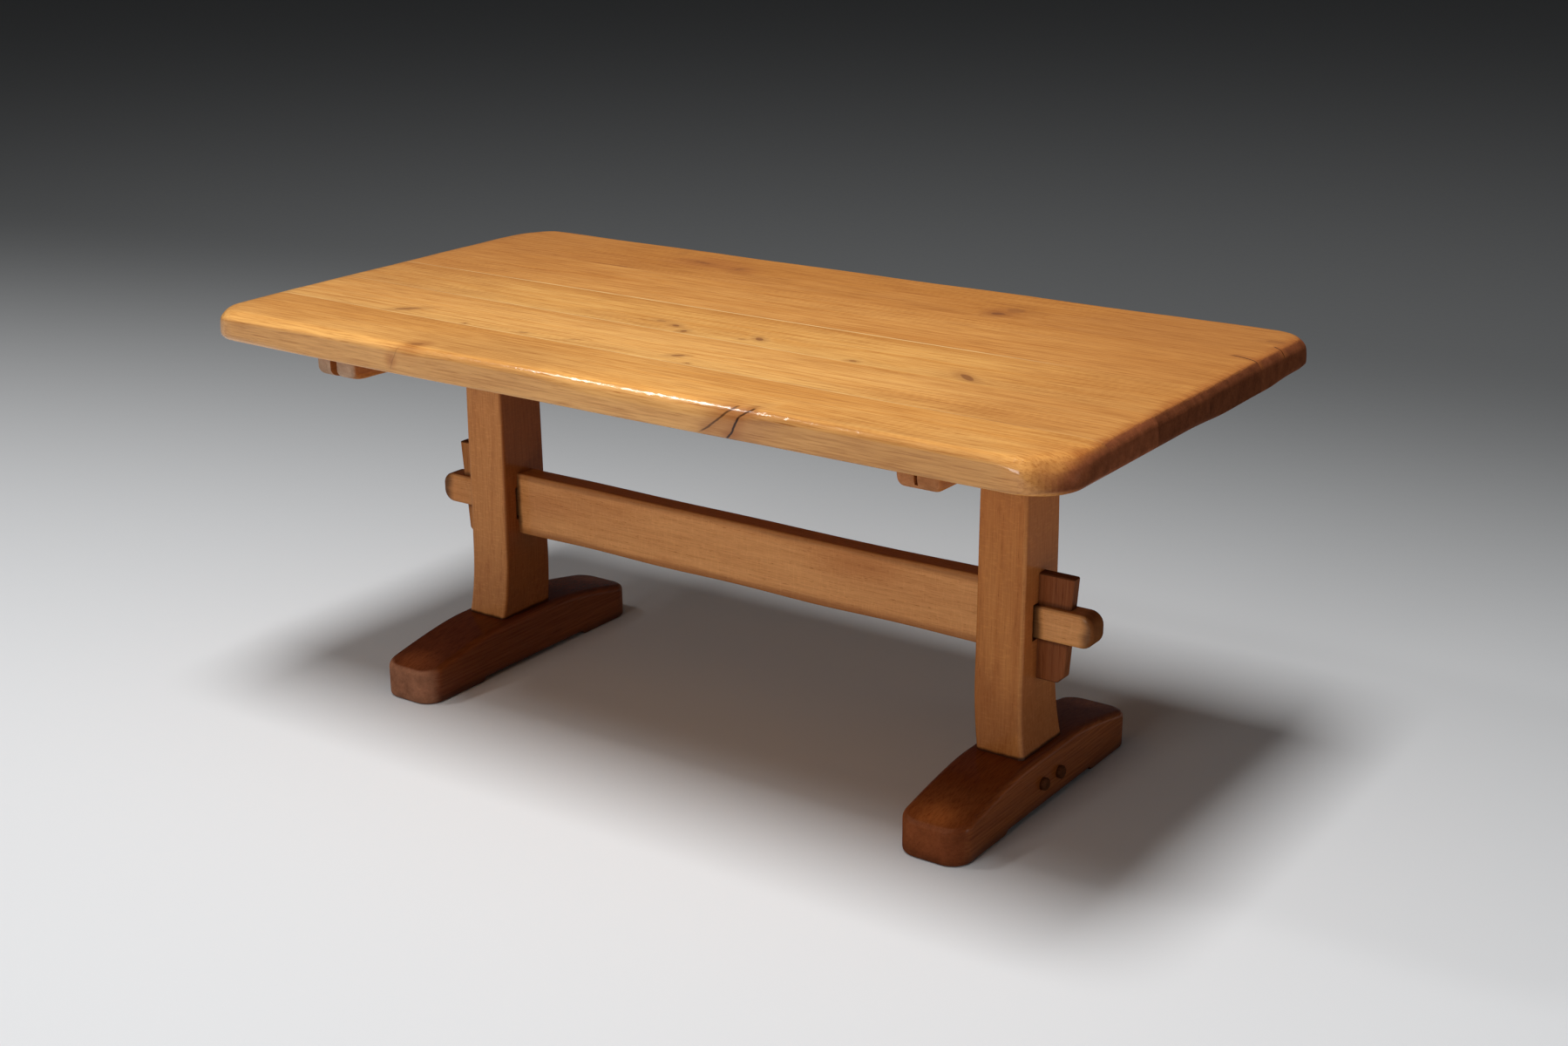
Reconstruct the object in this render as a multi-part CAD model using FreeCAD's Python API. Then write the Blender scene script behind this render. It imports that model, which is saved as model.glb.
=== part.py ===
import FreeCAD, Part
import math
import os

from FreeCAD import Vector

# Trestle dining table in solid oak, in millimetres.
# X runs along the table, Y across it, Z up from the floor; the origin is on the floor under the middle.

# Whole table
table_height = 750.0
top_length = 1745.0
top_width = 904.0
top_thickness = 53.0

# Plank top: corner radii, worked edges and how far the left end runs out of square
corner_front_left = 82.0
corner_front_right = 82.0
corner_back_right = 52.0
corner_back_left = 75.0
left_end_runout = 4.0
edge_wave = 6.0
top_roundover = 13.0
top_lower_arris = 4.0
front_wave_shares = (0.35, 0.1, 0.45, 0.2, 0.4, 0.1)
right_wave_shares = (0.4, 0.15, 0.5)
back_wave_shares = (0.5, 0.95, 0.3, 1.0, 0.35, 0.85, 0.25, 0.8)
left_wave_shares = (0.2, 0.9, 0.3)

# Seams between the planks, front to back: shares of the top's width at the left and at the right end
seam_left_shares = (0.1936, 0.375, 0.5498, 0.7611)
seam_right_shares = (0.1571, 0.3341, 0.5288, 0.7522)

# Loose tongues glued into stopped grooves along the seams
tongue_width = 32.0
tongue_thickness = 12.0
tongue_end_stop = 110.0
tongue_clearance = 0.2

# Trestles: how far the top's end overhangs the post's middle at the foot, the joint and the head
foot_overhang = 299.5
joint_overhang = 310.5
head_overhang = 311.5

# Posts, sawn to two profiles: widths along X and depths along Y
post_foot_width = 90.0
post_joint_width = 90.0
post_head_width = 84.0
post_foot_depth = 138.0
post_knee_depth = 117.0
post_knee_rise = 82.0
post_head_depth = 116.0
post_cheek_above = 106.0
post_cheek_below = 96.0
post_kick_knee_share = 0.45
post_arris = 8.0

# Stub tenons of the posts, in the feet and in the bearers
post_tenon_width = 32.0
post_tenon_depth = 88.0
foot_tenon_length = 62.0
head_tenon_length = 46.0
tenon_fit_clearance = 0.2
tenon_end_clearance = 3.0

# Feet
foot_width = 125.0
foot_length = 594.0
foot_height = 98.0
foot_end_height = 63.0
foot_flat_length = 150.0
foot_knee_length = 280.0
foot_relief_length = 286.0
foot_relief_height = 10.0
foot_relief_ramp = 12.0
foot_corner = 38.0
foot_arris = 13.0
foot_lower_arris = 6.0

# Bearers under the top, tapering in plan; the arms stop short of the top's edges by shares of its width
bearer_depth = 72.0
bearer_long_setback_share = 0.03
bearer_short_setback_share = 0.14
bearer_long_end_width = 90.0
bearer_short_end_width = 76.0
bearer_long_end_depth = 42.0
bearer_sweep_start = 170.0
bearer_long_nose_run = 48.0
bearer_long_nose_rise = 20.0
bearer_short_nose = 26.0
bearer_arris = 12.0
bearer_slot_length = 78.0
bearer_long_slot_width = 16.0
bearer_short_slot_width = 6.0
bearer_short_slot_floor = 10.0

# Screws that hold the top and let it move across its width, set in from the arms' ends
screw_inset_share = 0.062
screw_seat_drop = 30.0
screw_seat_radius = 22.0
screw_shank_radius = 5.0
screw_bite = 33.0
screw_head_across_flats = 17.0
screw_head_height = 7.0
screw_head_sides = 6
screw_clearance = 0.1
screw_play = 2.0
washer_radius = 19.0
washer_thickness = 3.0

# Stretcher with its two tusk tenons
rail_middle_height = 327.0
rail_depth = 125.0
rail_thickness = 44.0
rail_wave = 4.5
rail_arris = 5.0
rail_top_wave_shares = (0.6, 0.5, 0.8, 0.75, 1.0, 0.9, 0.45)
rail_bottom_wave_shares = (0.2, 0.65, 0.15, 0.55, 0.05, 0.6, 0.25)
tusk_height = 58.0
tusk_projection = 106.0
tusk_end_radius = 23.0
tusk_arris = 8.0
mortise_side_clearance = 6.0
mortise_height_clearance = 3.0

# Wedges through the tusk tenons; the lift is how far each one stands above its middle depth
wedge_bottom_width = 49.5
wedge_top_width = 64.0
wedge_thickness = 22.0
wedge_above_rail_middle = 89.5
wedge_below_rail_middle = 96.5
wedge_tip_chamfer = 11.0
wedge_arris = 2.0
wedge_clearance = 0.2
wedge_draw_room = 8.0
right_wedge_lift = -6.0
left_wedge_lift = 7.0

# Whittled pegs through the post tenons
peg_radius = 10.5
peg_spacing = 57.0
peg_head_radius = 11.5
peg_head_length = 10.0
peg_head_chamfer = 3.0
peg_past_tenon = 14.0
peg_fit_clearance = 0.1
peg_sides = 9
foot_peg_height = 47.0
bearer_peg_drop = 38.0

# Cuts run this far past the faces that they open
overrun = 5.0

half_turn = 180.0
up = Vector(0, 0, 1)
origin = Vector(0, 0, 0)

foot_reach = top_length / 2 - foot_overhang
joint_reach = top_length / 2 - joint_overhang
head_reach = top_length / 2 - head_overhang
top_underside = table_height - top_thickness
bearer_underside = top_underside - bearer_depth
post_inner_face = joint_reach - post_joint_width / 2
post_outer_face = joint_reach + post_joint_width / 2
front_edge = -top_width / 2
bearer_long_arm = top_width / 2 - top_width * bearer_long_setback_share
bearer_short_arm = top_width / 2 - top_width * bearer_short_setback_share
screw_inset = top_width * screw_inset_share

# Points closer than this are one point; a face looks up or stands upright by its normal's rise
same_place_share = 0.001
same_place = top_thickness * same_place_share
looking_up_share = 0.3
upright_share = 0.05


def box(low, high):
    """Block between two opposite corners."""
    size = high - low
    return Part.makeBox(size.x, size.y, size.z, low)


def prism(edges, direction):
    """Solid made by pushing a closed outline along a direction."""
    return Part.Face(Part.Wire(edges)).extrude(direction)


def polygon(points):
    """Straight edges of a closed outline through the points."""
    closed = list(points) + [points[0]]
    return [Part.LineSegment(a, b).toShape() for a, b in zip(closed, closed[1:])]


def line(start, end):
    """One straight edge."""
    return Part.LineSegment(start, end).toShape()


def bend(start, knee, end):
    """Edge that leaves its start towards the knee and reaches its end from the knee."""
    curve = Part.BezierCurve()
    curve.setPoles([start, knee, end])
    return curve.toShape()


def worked_edge(points, direction):
    """Smooth edge through the points that starts and ends along one direction."""
    curve = Part.BSplineCurve()
    curve.interpolate(Points=points, InitialTangent=direction, FinalTangent=direction)
    return curve.toShape()


def middle_of(edge):
    """Point half way along an edge."""
    return edge.valueAt((edge.FirstParameter + edge.LastParameter) / 2)


def level_edges(shape, height):
    """Edges that lie flat at one height."""
    found = []
    for edge in shape.Edges:
        bounds = edge.BoundBox
        if math.isclose(bounds.ZMin, height, abs_tol=same_place):
            if math.isclose(bounds.ZMax, height, abs_tol=same_place):
                found.append(edge)
    return found


def turned(shape):
    """Copy of a right-hand piece, turned half round for the left-hand trestle."""
    copy = shape.copy()
    copy.rotate(origin, up, half_turn)
    return copy


def waved_side(start, end, inward, shares, direction):
    """One side of the top's outline, waving inwards from the line between its ends."""
    points = [start]
    for index, share in enumerate(shares, start=1):
        along = index / (len(shares) + 1)
        points.append(start + (end - start) * along + inward * (edge_wave * share))
    points.append(end)
    return worked_edge(points, direction)


def corner_arc(start, corner, end, radius):
    """Quarter round between two sides that meet at a corner."""
    centre = start + end - corner
    outward = (corner - centre).normalize()
    return Part.Arc(start, centre + outward * radius, end).toShape()


def top_slab():
    """The whole top before it is parted into planks: worked outline and rounded upper edge."""
    left = -top_length / 2
    right = top_length / 2
    front = -top_width / 2
    back = top_width / 2
    low = top_underside
    east = Vector(1, 0, 0)
    north = Vector(0, 1, 0)

    front_left = Vector(left + left_end_runout, front, low)
    front_right = Vector(right, front, low)
    back_right = Vector(right, back, low)
    back_left = Vector(left, back, low)

    front_start = front_left + east * corner_front_left
    front_end = front_right - east * corner_front_right
    right_start = front_right + north * corner_front_right
    right_end = back_right - north * corner_back_right
    back_start = back_right - east * corner_back_right
    back_end = back_left + east * corner_back_left
    left_start = back_left - north * corner_back_left
    left_end = front_left + north * corner_front_left

    outline = [
        waved_side(front_start, front_end, north, front_wave_shares, east),
        corner_arc(front_end, front_right, right_start, corner_front_right),
        waved_side(right_start, right_end, -east, right_wave_shares, north),
        corner_arc(right_end, back_right, back_start, corner_back_right),
        waved_side(back_start, back_end, -north, back_wave_shares, -east),
        corner_arc(back_end, back_left, left_start, corner_back_left),
        waved_side(left_start, left_end, east, left_wave_shares, -north),
        corner_arc(left_end, front_left, front_start, corner_front_left),
    ]
    slab = prism(outline, up * top_thickness)
    slab = slab.makeFillet(top_roundover, level_edges(slab, table_height))
    return slab.makeFillet(top_lower_arris, level_edges(slab, top_underside))


def seam_lines():
    """Left and right ends of each seam, front to back, with the two outer edges of the top."""
    offsets = [(-overrun, -overrun)]
    for left_share, right_share in zip(seam_left_shares, seam_right_shares):
        offsets.append((top_width * left_share, top_width * right_share))
    offsets.append((top_width + overrun, top_width + overrun))
    lines = []
    for at_left, at_right in offsets:
        start = Vector(-top_length / 2, front_edge + at_left, top_underside)
        end = Vector(top_length / 2, front_edge + at_right, top_underside)
        lines.append((start, end))
    return lines


def tongue_solid(seam, grown):
    """Loose tongue along a seam, or its groove when grown by the clearance."""
    start, end = seam
    run = end - start
    along = Vector(run).normalize()
    middle = (start + end) / 2 + up * (top_thickness / 2)
    length = run.Length - 2 * tongue_end_stop + 2 * grown
    width = tongue_width + 2 * grown
    thickness = tongue_thickness + 2 * grown
    tongue = Part.makeBox(length, width, thickness, Vector(-length / 2, -width / 2, -thickness / 2))
    tongue.rotate(origin, up, math.degrees(math.atan2(along.y, along.x)))
    tongue.translate(middle)
    return tongue


def screw_places():
    """Where the four screws go up into the top, for both trestles."""
    right = [
        Vector(head_reach, bearer_long_arm - screw_inset, top_underside - screw_seat_drop),
        Vector(head_reach, screw_inset - bearer_short_arm, top_underside - screw_seat_drop),
    ]
    left = [Vector(-place.x, -place.y, place.z) for place in right]
    return {"right": right, "left": left}


def top_planks():
    """Planks of the top, grooved for their tongues and bored for the screws, and the tongues."""
    slab = top_slab()
    lines = seam_lines()
    pieces = {}
    bores = []
    for places in screw_places().values():
        for place in places:
            length = screw_seat_drop + screw_bite
            bores.append(Part.makeCylinder(screw_shank_radius + screw_clearance, length, place, up))
    grooves = [tongue_solid(seam, tongue_clearance) for seam in lines[1:-1]]
    for number, (fore, aft) in enumerate(zip(lines, lines[1:]), start=1):
        past_end = Vector(overrun, 0, 0)
        below = Vector(0, 0, -overrun)
        corners = [fore[0] - past_end, fore[1] + past_end, aft[1] + past_end, aft[0] - past_end]
        strip = prism(polygon([corner + below for corner in corners]), up * (top_thickness + 2 * overrun))
        pieces[f"top_plank_{number}"] = slab.common(strip).cut(grooves + bores)
    for number, seam in enumerate(lines[1:-1], start=1):
        pieces[f"seam_tongue_{number}"] = tongue_solid(seam, 0)
    return pieces


def post_cheek(reach_foot, reach_joint, reach_head):
    """One long edge of the post's front profile, from foot to head, with a flat stretch at the joint."""
    low = Vector(reach_foot, 0, foot_height)
    flat_low = Vector(reach_joint, 0, rail_middle_height - post_cheek_below)
    flat_high = Vector(reach_joint, 0, rail_middle_height + post_cheek_above)
    high = Vector(reach_head, 0, bearer_underside)
    low_knee = Vector(reach_joint, 0, foot_height + post_kick_knee_share * (flat_low.z - foot_height))
    high_knee = Vector(reach_joint, 0, bearer_underside - post_kick_knee_share * (high.z - flat_high.z))
    return [bend(low, low_knee, flat_low), line(flat_low, flat_high), bend(flat_high, high_knee, high)]


def post_blank():
    """Post between its shoulders: common part of its front and side profiles, arrises rounded."""
    outer = post_cheek(foot_reach + post_foot_width / 2, post_outer_face, head_reach + post_head_width / 2)
    inner = post_cheek(foot_reach - post_foot_width / 2, post_inner_face, head_reach - post_head_width / 2)
    foot_line = line(inner[0].Vertexes[0].Point, outer[0].Vertexes[0].Point)
    head_line = line(inner[-1].Vertexes[-1].Point, outer[-1].Vertexes[-1].Point)
    front_view = prism(Part.sortEdges(outer + inner + [foot_line, head_line])[0], Vector(0, post_foot_depth, 0))
    front_view.translate(Vector(0, -post_foot_depth / 2, 0))

    sides = []
    for side in (-1, 1):
        low = Vector(0, side * post_foot_depth / 2, foot_height)
        knee = Vector(0, side * post_knee_depth / 2, foot_height + post_knee_rise)
        high = Vector(0, side * post_head_depth / 2, bearer_underside)
        sides.append(bend(low, knee, high))
    foot_line = line(sides[0].Vertexes[0].Point, sides[1].Vertexes[0].Point)
    head_line = line(sides[0].Vertexes[-1].Point, sides[1].Vertexes[-1].Point)
    span = foot_reach + post_foot_width
    side_view = prism(Part.sortEdges(sides + [foot_line, head_line])[0], Vector(span, 0, 0))

    blank = front_view.common(side_view)
    shoulders = level_edges(blank, foot_height) + level_edges(blank, bearer_underside)
    flat_rims = [middle_of(edge) for edge in shoulders]
    arrises = []
    for edge in blank.Edges:
        middle = middle_of(edge)
        on_shoulder = any(middle.isEqual(rim, same_place) for rim in flat_rims)
        across = abs(edge.Vertexes[0].Z - edge.Vertexes[-1].Z) < same_place
        if not on_shoulder and not across:
            arrises.append(edge)
    return blank.makeFillet(post_arris, arrises)


def stub_tenon(reach, low, high, grown):
    """Stub tenon of a post, or its mortise when grown by the fit."""
    half_width = post_tenon_width / 2 + grown
    half_depth = post_tenon_depth / 2 + grown
    return box(Vector(reach - half_width, -half_depth, low), Vector(reach + half_width, half_depth, high))


def peg_axes(reach, outer_face, height):
    """Start point on the outer face and length inside the wood, for the two pegs of one joint."""
    length = outer_face - reach + post_tenon_width / 2 + peg_past_tenon
    return [(Vector(outer_face, side * peg_spacing / 2, height), length) for side in (-1, 1)]


def peg_holes(axes):
    """Holes for the pegs of one joint, open at the outer face."""
    holes = []
    for place, length in axes:
        start = place + Vector(overrun, 0, 0)
        reach = length + overrun + peg_fit_clearance
        holes.append(Part.makeCylinder(peg_radius + peg_fit_clearance, reach, start, Vector(-1, 0, 0)))
    return holes


def whittled_ring(place, radius):
    """Outline of a peg's head, cut with a knife into flats."""
    points = []
    for step in range(peg_sides):
        angle = 2 * math.pi * step / peg_sides
        points.append(place + Vector(0, radius * math.cos(angle), radius * math.sin(angle)))
    return Part.Wire(polygon(points))


def peg(place, length):
    """Round peg with a whittled head that stands proud of the wood."""
    shank = Part.makeCylinder(peg_radius, length, place, Vector(-1, 0, 0))
    tip = place + Vector(peg_head_length, 0, 0)
    shoulder = tip - Vector(peg_head_chamfer, 0, 0)
    rings = [
        whittled_ring(place, peg_head_radius),
        whittled_ring(shoulder, peg_head_radius),
        whittled_ring(tip, peg_head_radius - peg_head_chamfer),
    ]
    head = Part.makeLoft(rings, True, True)
    return shank.fuse(head).removeSplitter()


def foot_peg_axes():
    """Pegs of the joint between post and foot."""
    return peg_axes(foot_reach, foot_reach + foot_width / 2, foot_peg_height)


def bearer_half_width(across):
    """Half the bearer's width at a place across the table; it tapers from the long to the short end."""
    share = (across + bearer_short_arm) / (bearer_long_arm + bearer_short_arm)
    return (bearer_short_end_width + share * (bearer_long_end_width - bearer_short_end_width)) / 2


def bearer_peg_axes():
    """Pegs of the joint between post and bearer, started where the tapering side is proudest."""
    outer_face = head_reach + bearer_half_width(peg_spacing / 2)
    return peg_axes(head_reach, outer_face, top_underside - bearer_peg_drop)


def post():
    """Right-hand post with its stub tenons, its mortise for the stretcher and its peg holes."""
    foot_tenon = stub_tenon(foot_reach, foot_height - foot_tenon_length, foot_height, 0)
    head_tenon = stub_tenon(head_reach, bearer_underside, bearer_underside + head_tenon_length, 0)
    body = post_blank().fuse([foot_tenon, head_tenon]).removeSplitter()
    half_width = rail_thickness / 2 + mortise_side_clearance
    half_height = tusk_height / 2 + mortise_height_clearance
    low = Vector(post_inner_face - overrun, -half_width, rail_middle_height - half_height)
    high = Vector(post_outer_face + overrun, half_width, rail_middle_height + half_height)
    return body.cut([box(low, high)] + peg_holes(foot_peg_axes()) + peg_holes(bearer_peg_axes()))


def foot_profile():
    """Side outline of a foot: two pads, a relief between them and a back that falls to both ends."""
    halves = []
    for side in (1, -1):
        relief = Vector(0, side * foot_relief_length / 2, foot_relief_height)
        pad_inner = Vector(0, relief.y + side * foot_relief_ramp, 0)
        pad_outer = Vector(0, side * foot_length / 2, 0)
        end_top = Vector(0, pad_outer.y, foot_end_height)
        flat_end = Vector(0, side * foot_flat_length / 2, foot_height)
        back_knee = Vector(0, side * foot_knee_length / 2, foot_height)
        halves.append([
            line(relief, pad_inner),
            line(pad_inner, pad_outer),
            line(pad_outer, end_top),
            bend(end_top, back_knee, flat_end),
        ])
    right, left = halves
    back = line(right[-1].Vertexes[-1].Point, left[-1].Vertexes[-1].Point)
    ceiling = line(left[0].Vertexes[0].Point, right[0].Vertexes[0].Point)
    return Part.sortEdges(right + left + [back, ceiling])[0]


def upper_rim(shape):
    """Edges where a face that looks up meets an upright one."""
    rim = []
    for edge in shape.Edges:
        middle = middle_of(edge)
        rises = []
        for face in shape.ancestorsOfType(edge, Part.Face):
            rises.append(face.normalAt(*face.Surface.parameter(middle)).z)
        if max(rises) > looking_up_share and abs(min(rises)) < upright_share:
            rim.append(edge)
    return rim


def foot():
    """Right-hand foot with its rounded ends and rims, its mortise for the post and its peg holes."""
    body = prism(foot_profile(), Vector(foot_width, 0, 0))
    body.translate(Vector(foot_reach - foot_width / 2, 0, 0))
    uprights = []
    for edge in body.Edges:
        if math.isclose(edge.Length, foot_end_height) and edge.BoundBox.YLength < same_place:
            uprights.append(edge)
    body = body.makeFillet(foot_corner, uprights)
    body = body.makeFillet(foot_arris, upper_rim(body))
    lower_rim = []
    for edge in level_edges(body, 0):
        if abs(middle_of(edge).y) > foot_relief_length / 2 + foot_relief_ramp + same_place:
            lower_rim.append(edge)
    body = body.makeFillet(foot_lower_arris, lower_rim)
    mortise_low = foot_height - foot_tenon_length - tenon_end_clearance
    mortise = stub_tenon(foot_reach, mortise_low, foot_height + overrun, tenon_fit_clearance)
    return body.cut([mortise] + peg_holes(foot_peg_axes()))


def bearer_profile():
    """Side outline of a bearer: short arm with a round nose, long arm that sweeps up to its end."""
    short_end = -bearer_short_arm
    long_end = bearer_long_arm
    long_low = top_underside - bearer_long_end_depth
    short_top = Vector(0, short_end, top_underside)
    short_low = Vector(0, short_end, bearer_underside + bearer_short_nose)
    short_knee = Vector(0, short_end, bearer_underside)
    belly_start = Vector(0, short_end + bearer_short_nose, bearer_underside)
    sweep_start = Vector(0, bearer_sweep_start, bearer_underside)
    nose_start = Vector(0, long_end - bearer_long_nose_run, long_low)
    nose_end = Vector(0, long_end, long_low + bearer_long_nose_rise)
    long_top = Vector(0, long_end, top_underside)
    sweep_knee = Vector(0, (sweep_start.y + nose_start.y) / 2, long_low)
    nose_knee = Vector(0, long_end, long_low)
    return [
        line(short_top, short_low),
        bend(short_low, short_knee, belly_start),
        line(belly_start, sweep_start),
        bend(sweep_start, sweep_knee, nose_start),
        bend(nose_start, nose_knee, nose_end),
        line(nose_end, long_top),
        line(long_top, short_top),
    ]


def bearer():
    """Right-hand bearer: slotted ends with holes for the screws, mortise for the post and peg holes."""
    widest = bearer_long_end_width
    side_view = prism(bearer_profile(), Vector(widest, 0, 0))
    side_view.translate(Vector(head_reach - widest / 2, 0, 0))
    short_half = bearer_short_end_width / 2
    long_half = bearer_long_end_width / 2
    plan_points = [
        Vector(head_reach - short_half, -bearer_short_arm, bearer_underside),
        Vector(head_reach + short_half, -bearer_short_arm, bearer_underside),
        Vector(head_reach + long_half, bearer_long_arm, bearer_underside),
        Vector(head_reach - long_half, bearer_long_arm, bearer_underside),
    ]
    body = side_view.common(prism(polygon(plan_points), up * bearer_depth))
    lower_arrises = []
    for edge in body.Edges:
        middle = middle_of(edge)
        low_side = middle.z < top_underside - same_place and edge.BoundBox.YLength > same_place
        if low_side:
            lower_arrises.append(edge)
    body = body.makeFillet(bearer_arris, lower_arrises)

    ends = (
        (-1, bearer_short_arm, bearer_short_slot_width, bearer_underside + bearer_short_slot_floor),
        (1, bearer_long_arm, bearer_long_slot_width, bearer_underside - overrun),
    )
    cuts = []
    for side, arm, slot_width, floor in ends:
        inner = side * (arm - bearer_slot_length)
        outer = side * (arm + overrun)
        low = Vector(head_reach - slot_width / 2, min(inner, outer), floor)
        high = Vector(head_reach + slot_width / 2, max(inner, outer), top_underside + overrun)
        cuts.append(box(low, high))
    for place in screw_places()["right"]:
        cuts.append(Part.makeCylinder(screw_seat_radius, bearer_depth, place, -up))
        cuts.append(Part.makeCylinder(screw_shank_radius + screw_play, screw_seat_drop + overrun, place, up))
    mortise_high = bearer_underside + head_tenon_length + tenon_end_clearance
    cuts.append(stub_tenon(head_reach, bearer_underside - overrun, mortise_high, tenon_fit_clearance))
    return body.cut(cuts + peg_holes(bearer_peg_axes()))


def washer(place):
    """Flat washer under a screw's head, seated against the bearer."""
    base = place - up * washer_thickness
    ring = Part.makeCylinder(washer_radius, washer_thickness, base, up)
    hole = Part.makeCylinder(screw_shank_radius + screw_clearance, washer_thickness, base, up)
    return ring.cut(hole)


def screw(place):
    """Hexagon-headed screw that draws the top down onto the bearer."""
    seat = place - up * washer_thickness
    corner_radius = screw_head_across_flats / (2 * math.cos(math.pi / screw_head_sides))
    corners = []
    for step in range(screw_head_sides):
        angle = 2 * math.pi * step / screw_head_sides
        offset = Vector(corner_radius * math.cos(angle), corner_radius * math.sin(angle), 0)
        corners.append(seat + offset)
    head = prism(polygon(corners), -up * screw_head_height)
    length = washer_thickness + screw_seat_drop + screw_bite
    shank = Part.makeCylinder(screw_shank_radius, length, seat, up)
    return head.fuse(shank).removeSplitter()


def rail_blank():
    """Stretcher between its shoulders, with gently waving upper and lower edges."""
    half_depth = rail_depth / 2
    outlines = []
    for side, shares in ((1, rail_top_wave_shares), (-1, rail_bottom_wave_shares)):
        points = []
        for index, share in enumerate(shares):
            along = -post_inner_face + 2 * post_inner_face * index / (len(shares) - 1)
            height = rail_middle_height + side * (half_depth - rail_wave * share)
            points.append(Vector(along, -rail_thickness / 2, height))
        outlines.append(points)
    top_points, bottom_points = outlines
    direction = Vector(1, 0, 0)
    edges = [
        worked_edge(top_points, direction),
        line(top_points[-1], bottom_points[-1]),
        worked_edge(list(reversed(bottom_points)), -direction),
        line(bottom_points[0], top_points[0]),
    ]
    blank = prism(edges, Vector(0, rail_thickness, 0))
    long_edges = [edge for edge in blank.Edges if edge.BoundBox.XLength > post_inner_face]
    return blank.makeFillet(rail_arris, long_edges)


def tusk_bar():
    """Bar that forms both tusk tenons: rounded ends and softened arrises."""
    reach = post_outer_face + tusk_projection
    half_height = tusk_height / 2
    low = Vector(-reach, -rail_thickness / 2, rail_middle_height - half_height)
    high = Vector(reach, rail_thickness / 2, rail_middle_height + half_height)
    bar = box(low, high)
    ends = [edge for edge in bar.Edges if edge.BoundBox.YLength > rail_thickness / 2]
    bar = bar.makeFillet(tusk_end_radius, ends)
    rims = [edge for edge in bar.Edges if edge.BoundBox.YLength < same_place]
    return bar.makeFillet(tusk_arris, rims)


def wedge_outline(lift, grown_out):
    """Corners of the wedge seen from the front, inner edge upright against the post."""
    inner = post_outer_face + wedge_clearance
    low = rail_middle_height + lift - wedge_below_rail_middle
    high = rail_middle_height + lift + wedge_above_rail_middle
    return [
        Vector(inner, 0, low),
        Vector(inner + wedge_bottom_width + grown_out, 0, low),
        Vector(inner + wedge_top_width + grown_out, 0, high),
        Vector(inner, 0, high),
    ]


def wedge_slot(lift):
    """Slot through the tusk tenon: it starts inside the post, so that the wedge draws the joint tight."""
    corners = wedge_outline(lift, wedge_clearance)
    draw = Vector(wedge_draw_room, 0, 0)
    outline = [corners[0] - draw, corners[1], corners[2], corners[3] - draw]
    half = wedge_thickness / 2 + wedge_clearance
    slot = prism(polygon(outline), Vector(0, 2 * half, 0))
    slot.translate(Vector(0, -half, 0))
    return slot


def wedge(lift):
    """Right-hand wedge: tapered, with eased edges and a cut-off corner at its tip."""
    corners = wedge_outline(lift, 0)
    body = prism(polygon(corners), Vector(0, wedge_thickness, 0))
    body.translate(Vector(0, -wedge_thickness / 2, 0))
    tip = corners[1]
    tip_edges = []
    for edge in body.Edges:
        middle = middle_of(edge)
        if middle.isEqual(Vector(tip.x, 0, tip.z), same_place):
            tip_edges.append(edge)
    body = body.makeChamfer(wedge_tip_chamfer, tip_edges)
    eased = []
    for edge in body.Edges:
        middle = middle_of(edge)
        if middle.x > post_outer_face + wedge_arris:
            eased.append(edge)
    return body.makeChamfer(wedge_arris, eased)


def stretcher():
    """Stretcher with its tusk tenons, slotted for the wedges."""
    slots = [wedge_slot(right_wedge_lift), turned(wedge_slot(left_wedge_lift))]
    return rail_blank().fuse(tusk_bar()).removeSplitter().cut(slots)


def right_trestle():
    """Right-hand pieces that have a left-hand twin, turned half round."""
    pieces = {
        "foot": foot(),
        "post": post(),
        "bearer": bearer(),
    }
    for joint, axes in (("foot", foot_peg_axes()), ("bearer", bearer_peg_axes())):
        for number, (place, length) in enumerate(axes, start=1):
            pieces[f"{joint}_peg_{number}"] = peg(place, length)
    for number, place in enumerate(screw_places()["right"], start=1):
        pieces[f"top_screw_{number}"] = screw(place)
        pieces[f"top_washer_{number}"] = washer(place)
    return pieces


def table():
    """Every piece of the table by its name."""
    pieces = top_planks()
    pieces["stretcher"] = stretcher()
    pieces["right_wedge"] = wedge(right_wedge_lift)
    pieces["left_wedge"] = turned(wedge(left_wedge_lift))
    for name, shape in right_trestle().items():
        pieces[f"right_{name}"] = shape
        pieces[f"left_{name}"] = turned(shape)
    return pieces


os.makedirs("parts", exist_ok=True)
for name, shape in table().items():
    shape.exportStep(f"parts/{name}.step")
    print(name, len(shape.Solids), round(shape.Volume), shape.isValid())
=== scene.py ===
import logging
import math
from dataclasses import dataclass, replace
from enum import Enum, IntEnum
from typing import Any, Callable, Sequence

import bmesh
import bpy
from mathutils import Matrix, Vector


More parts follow.
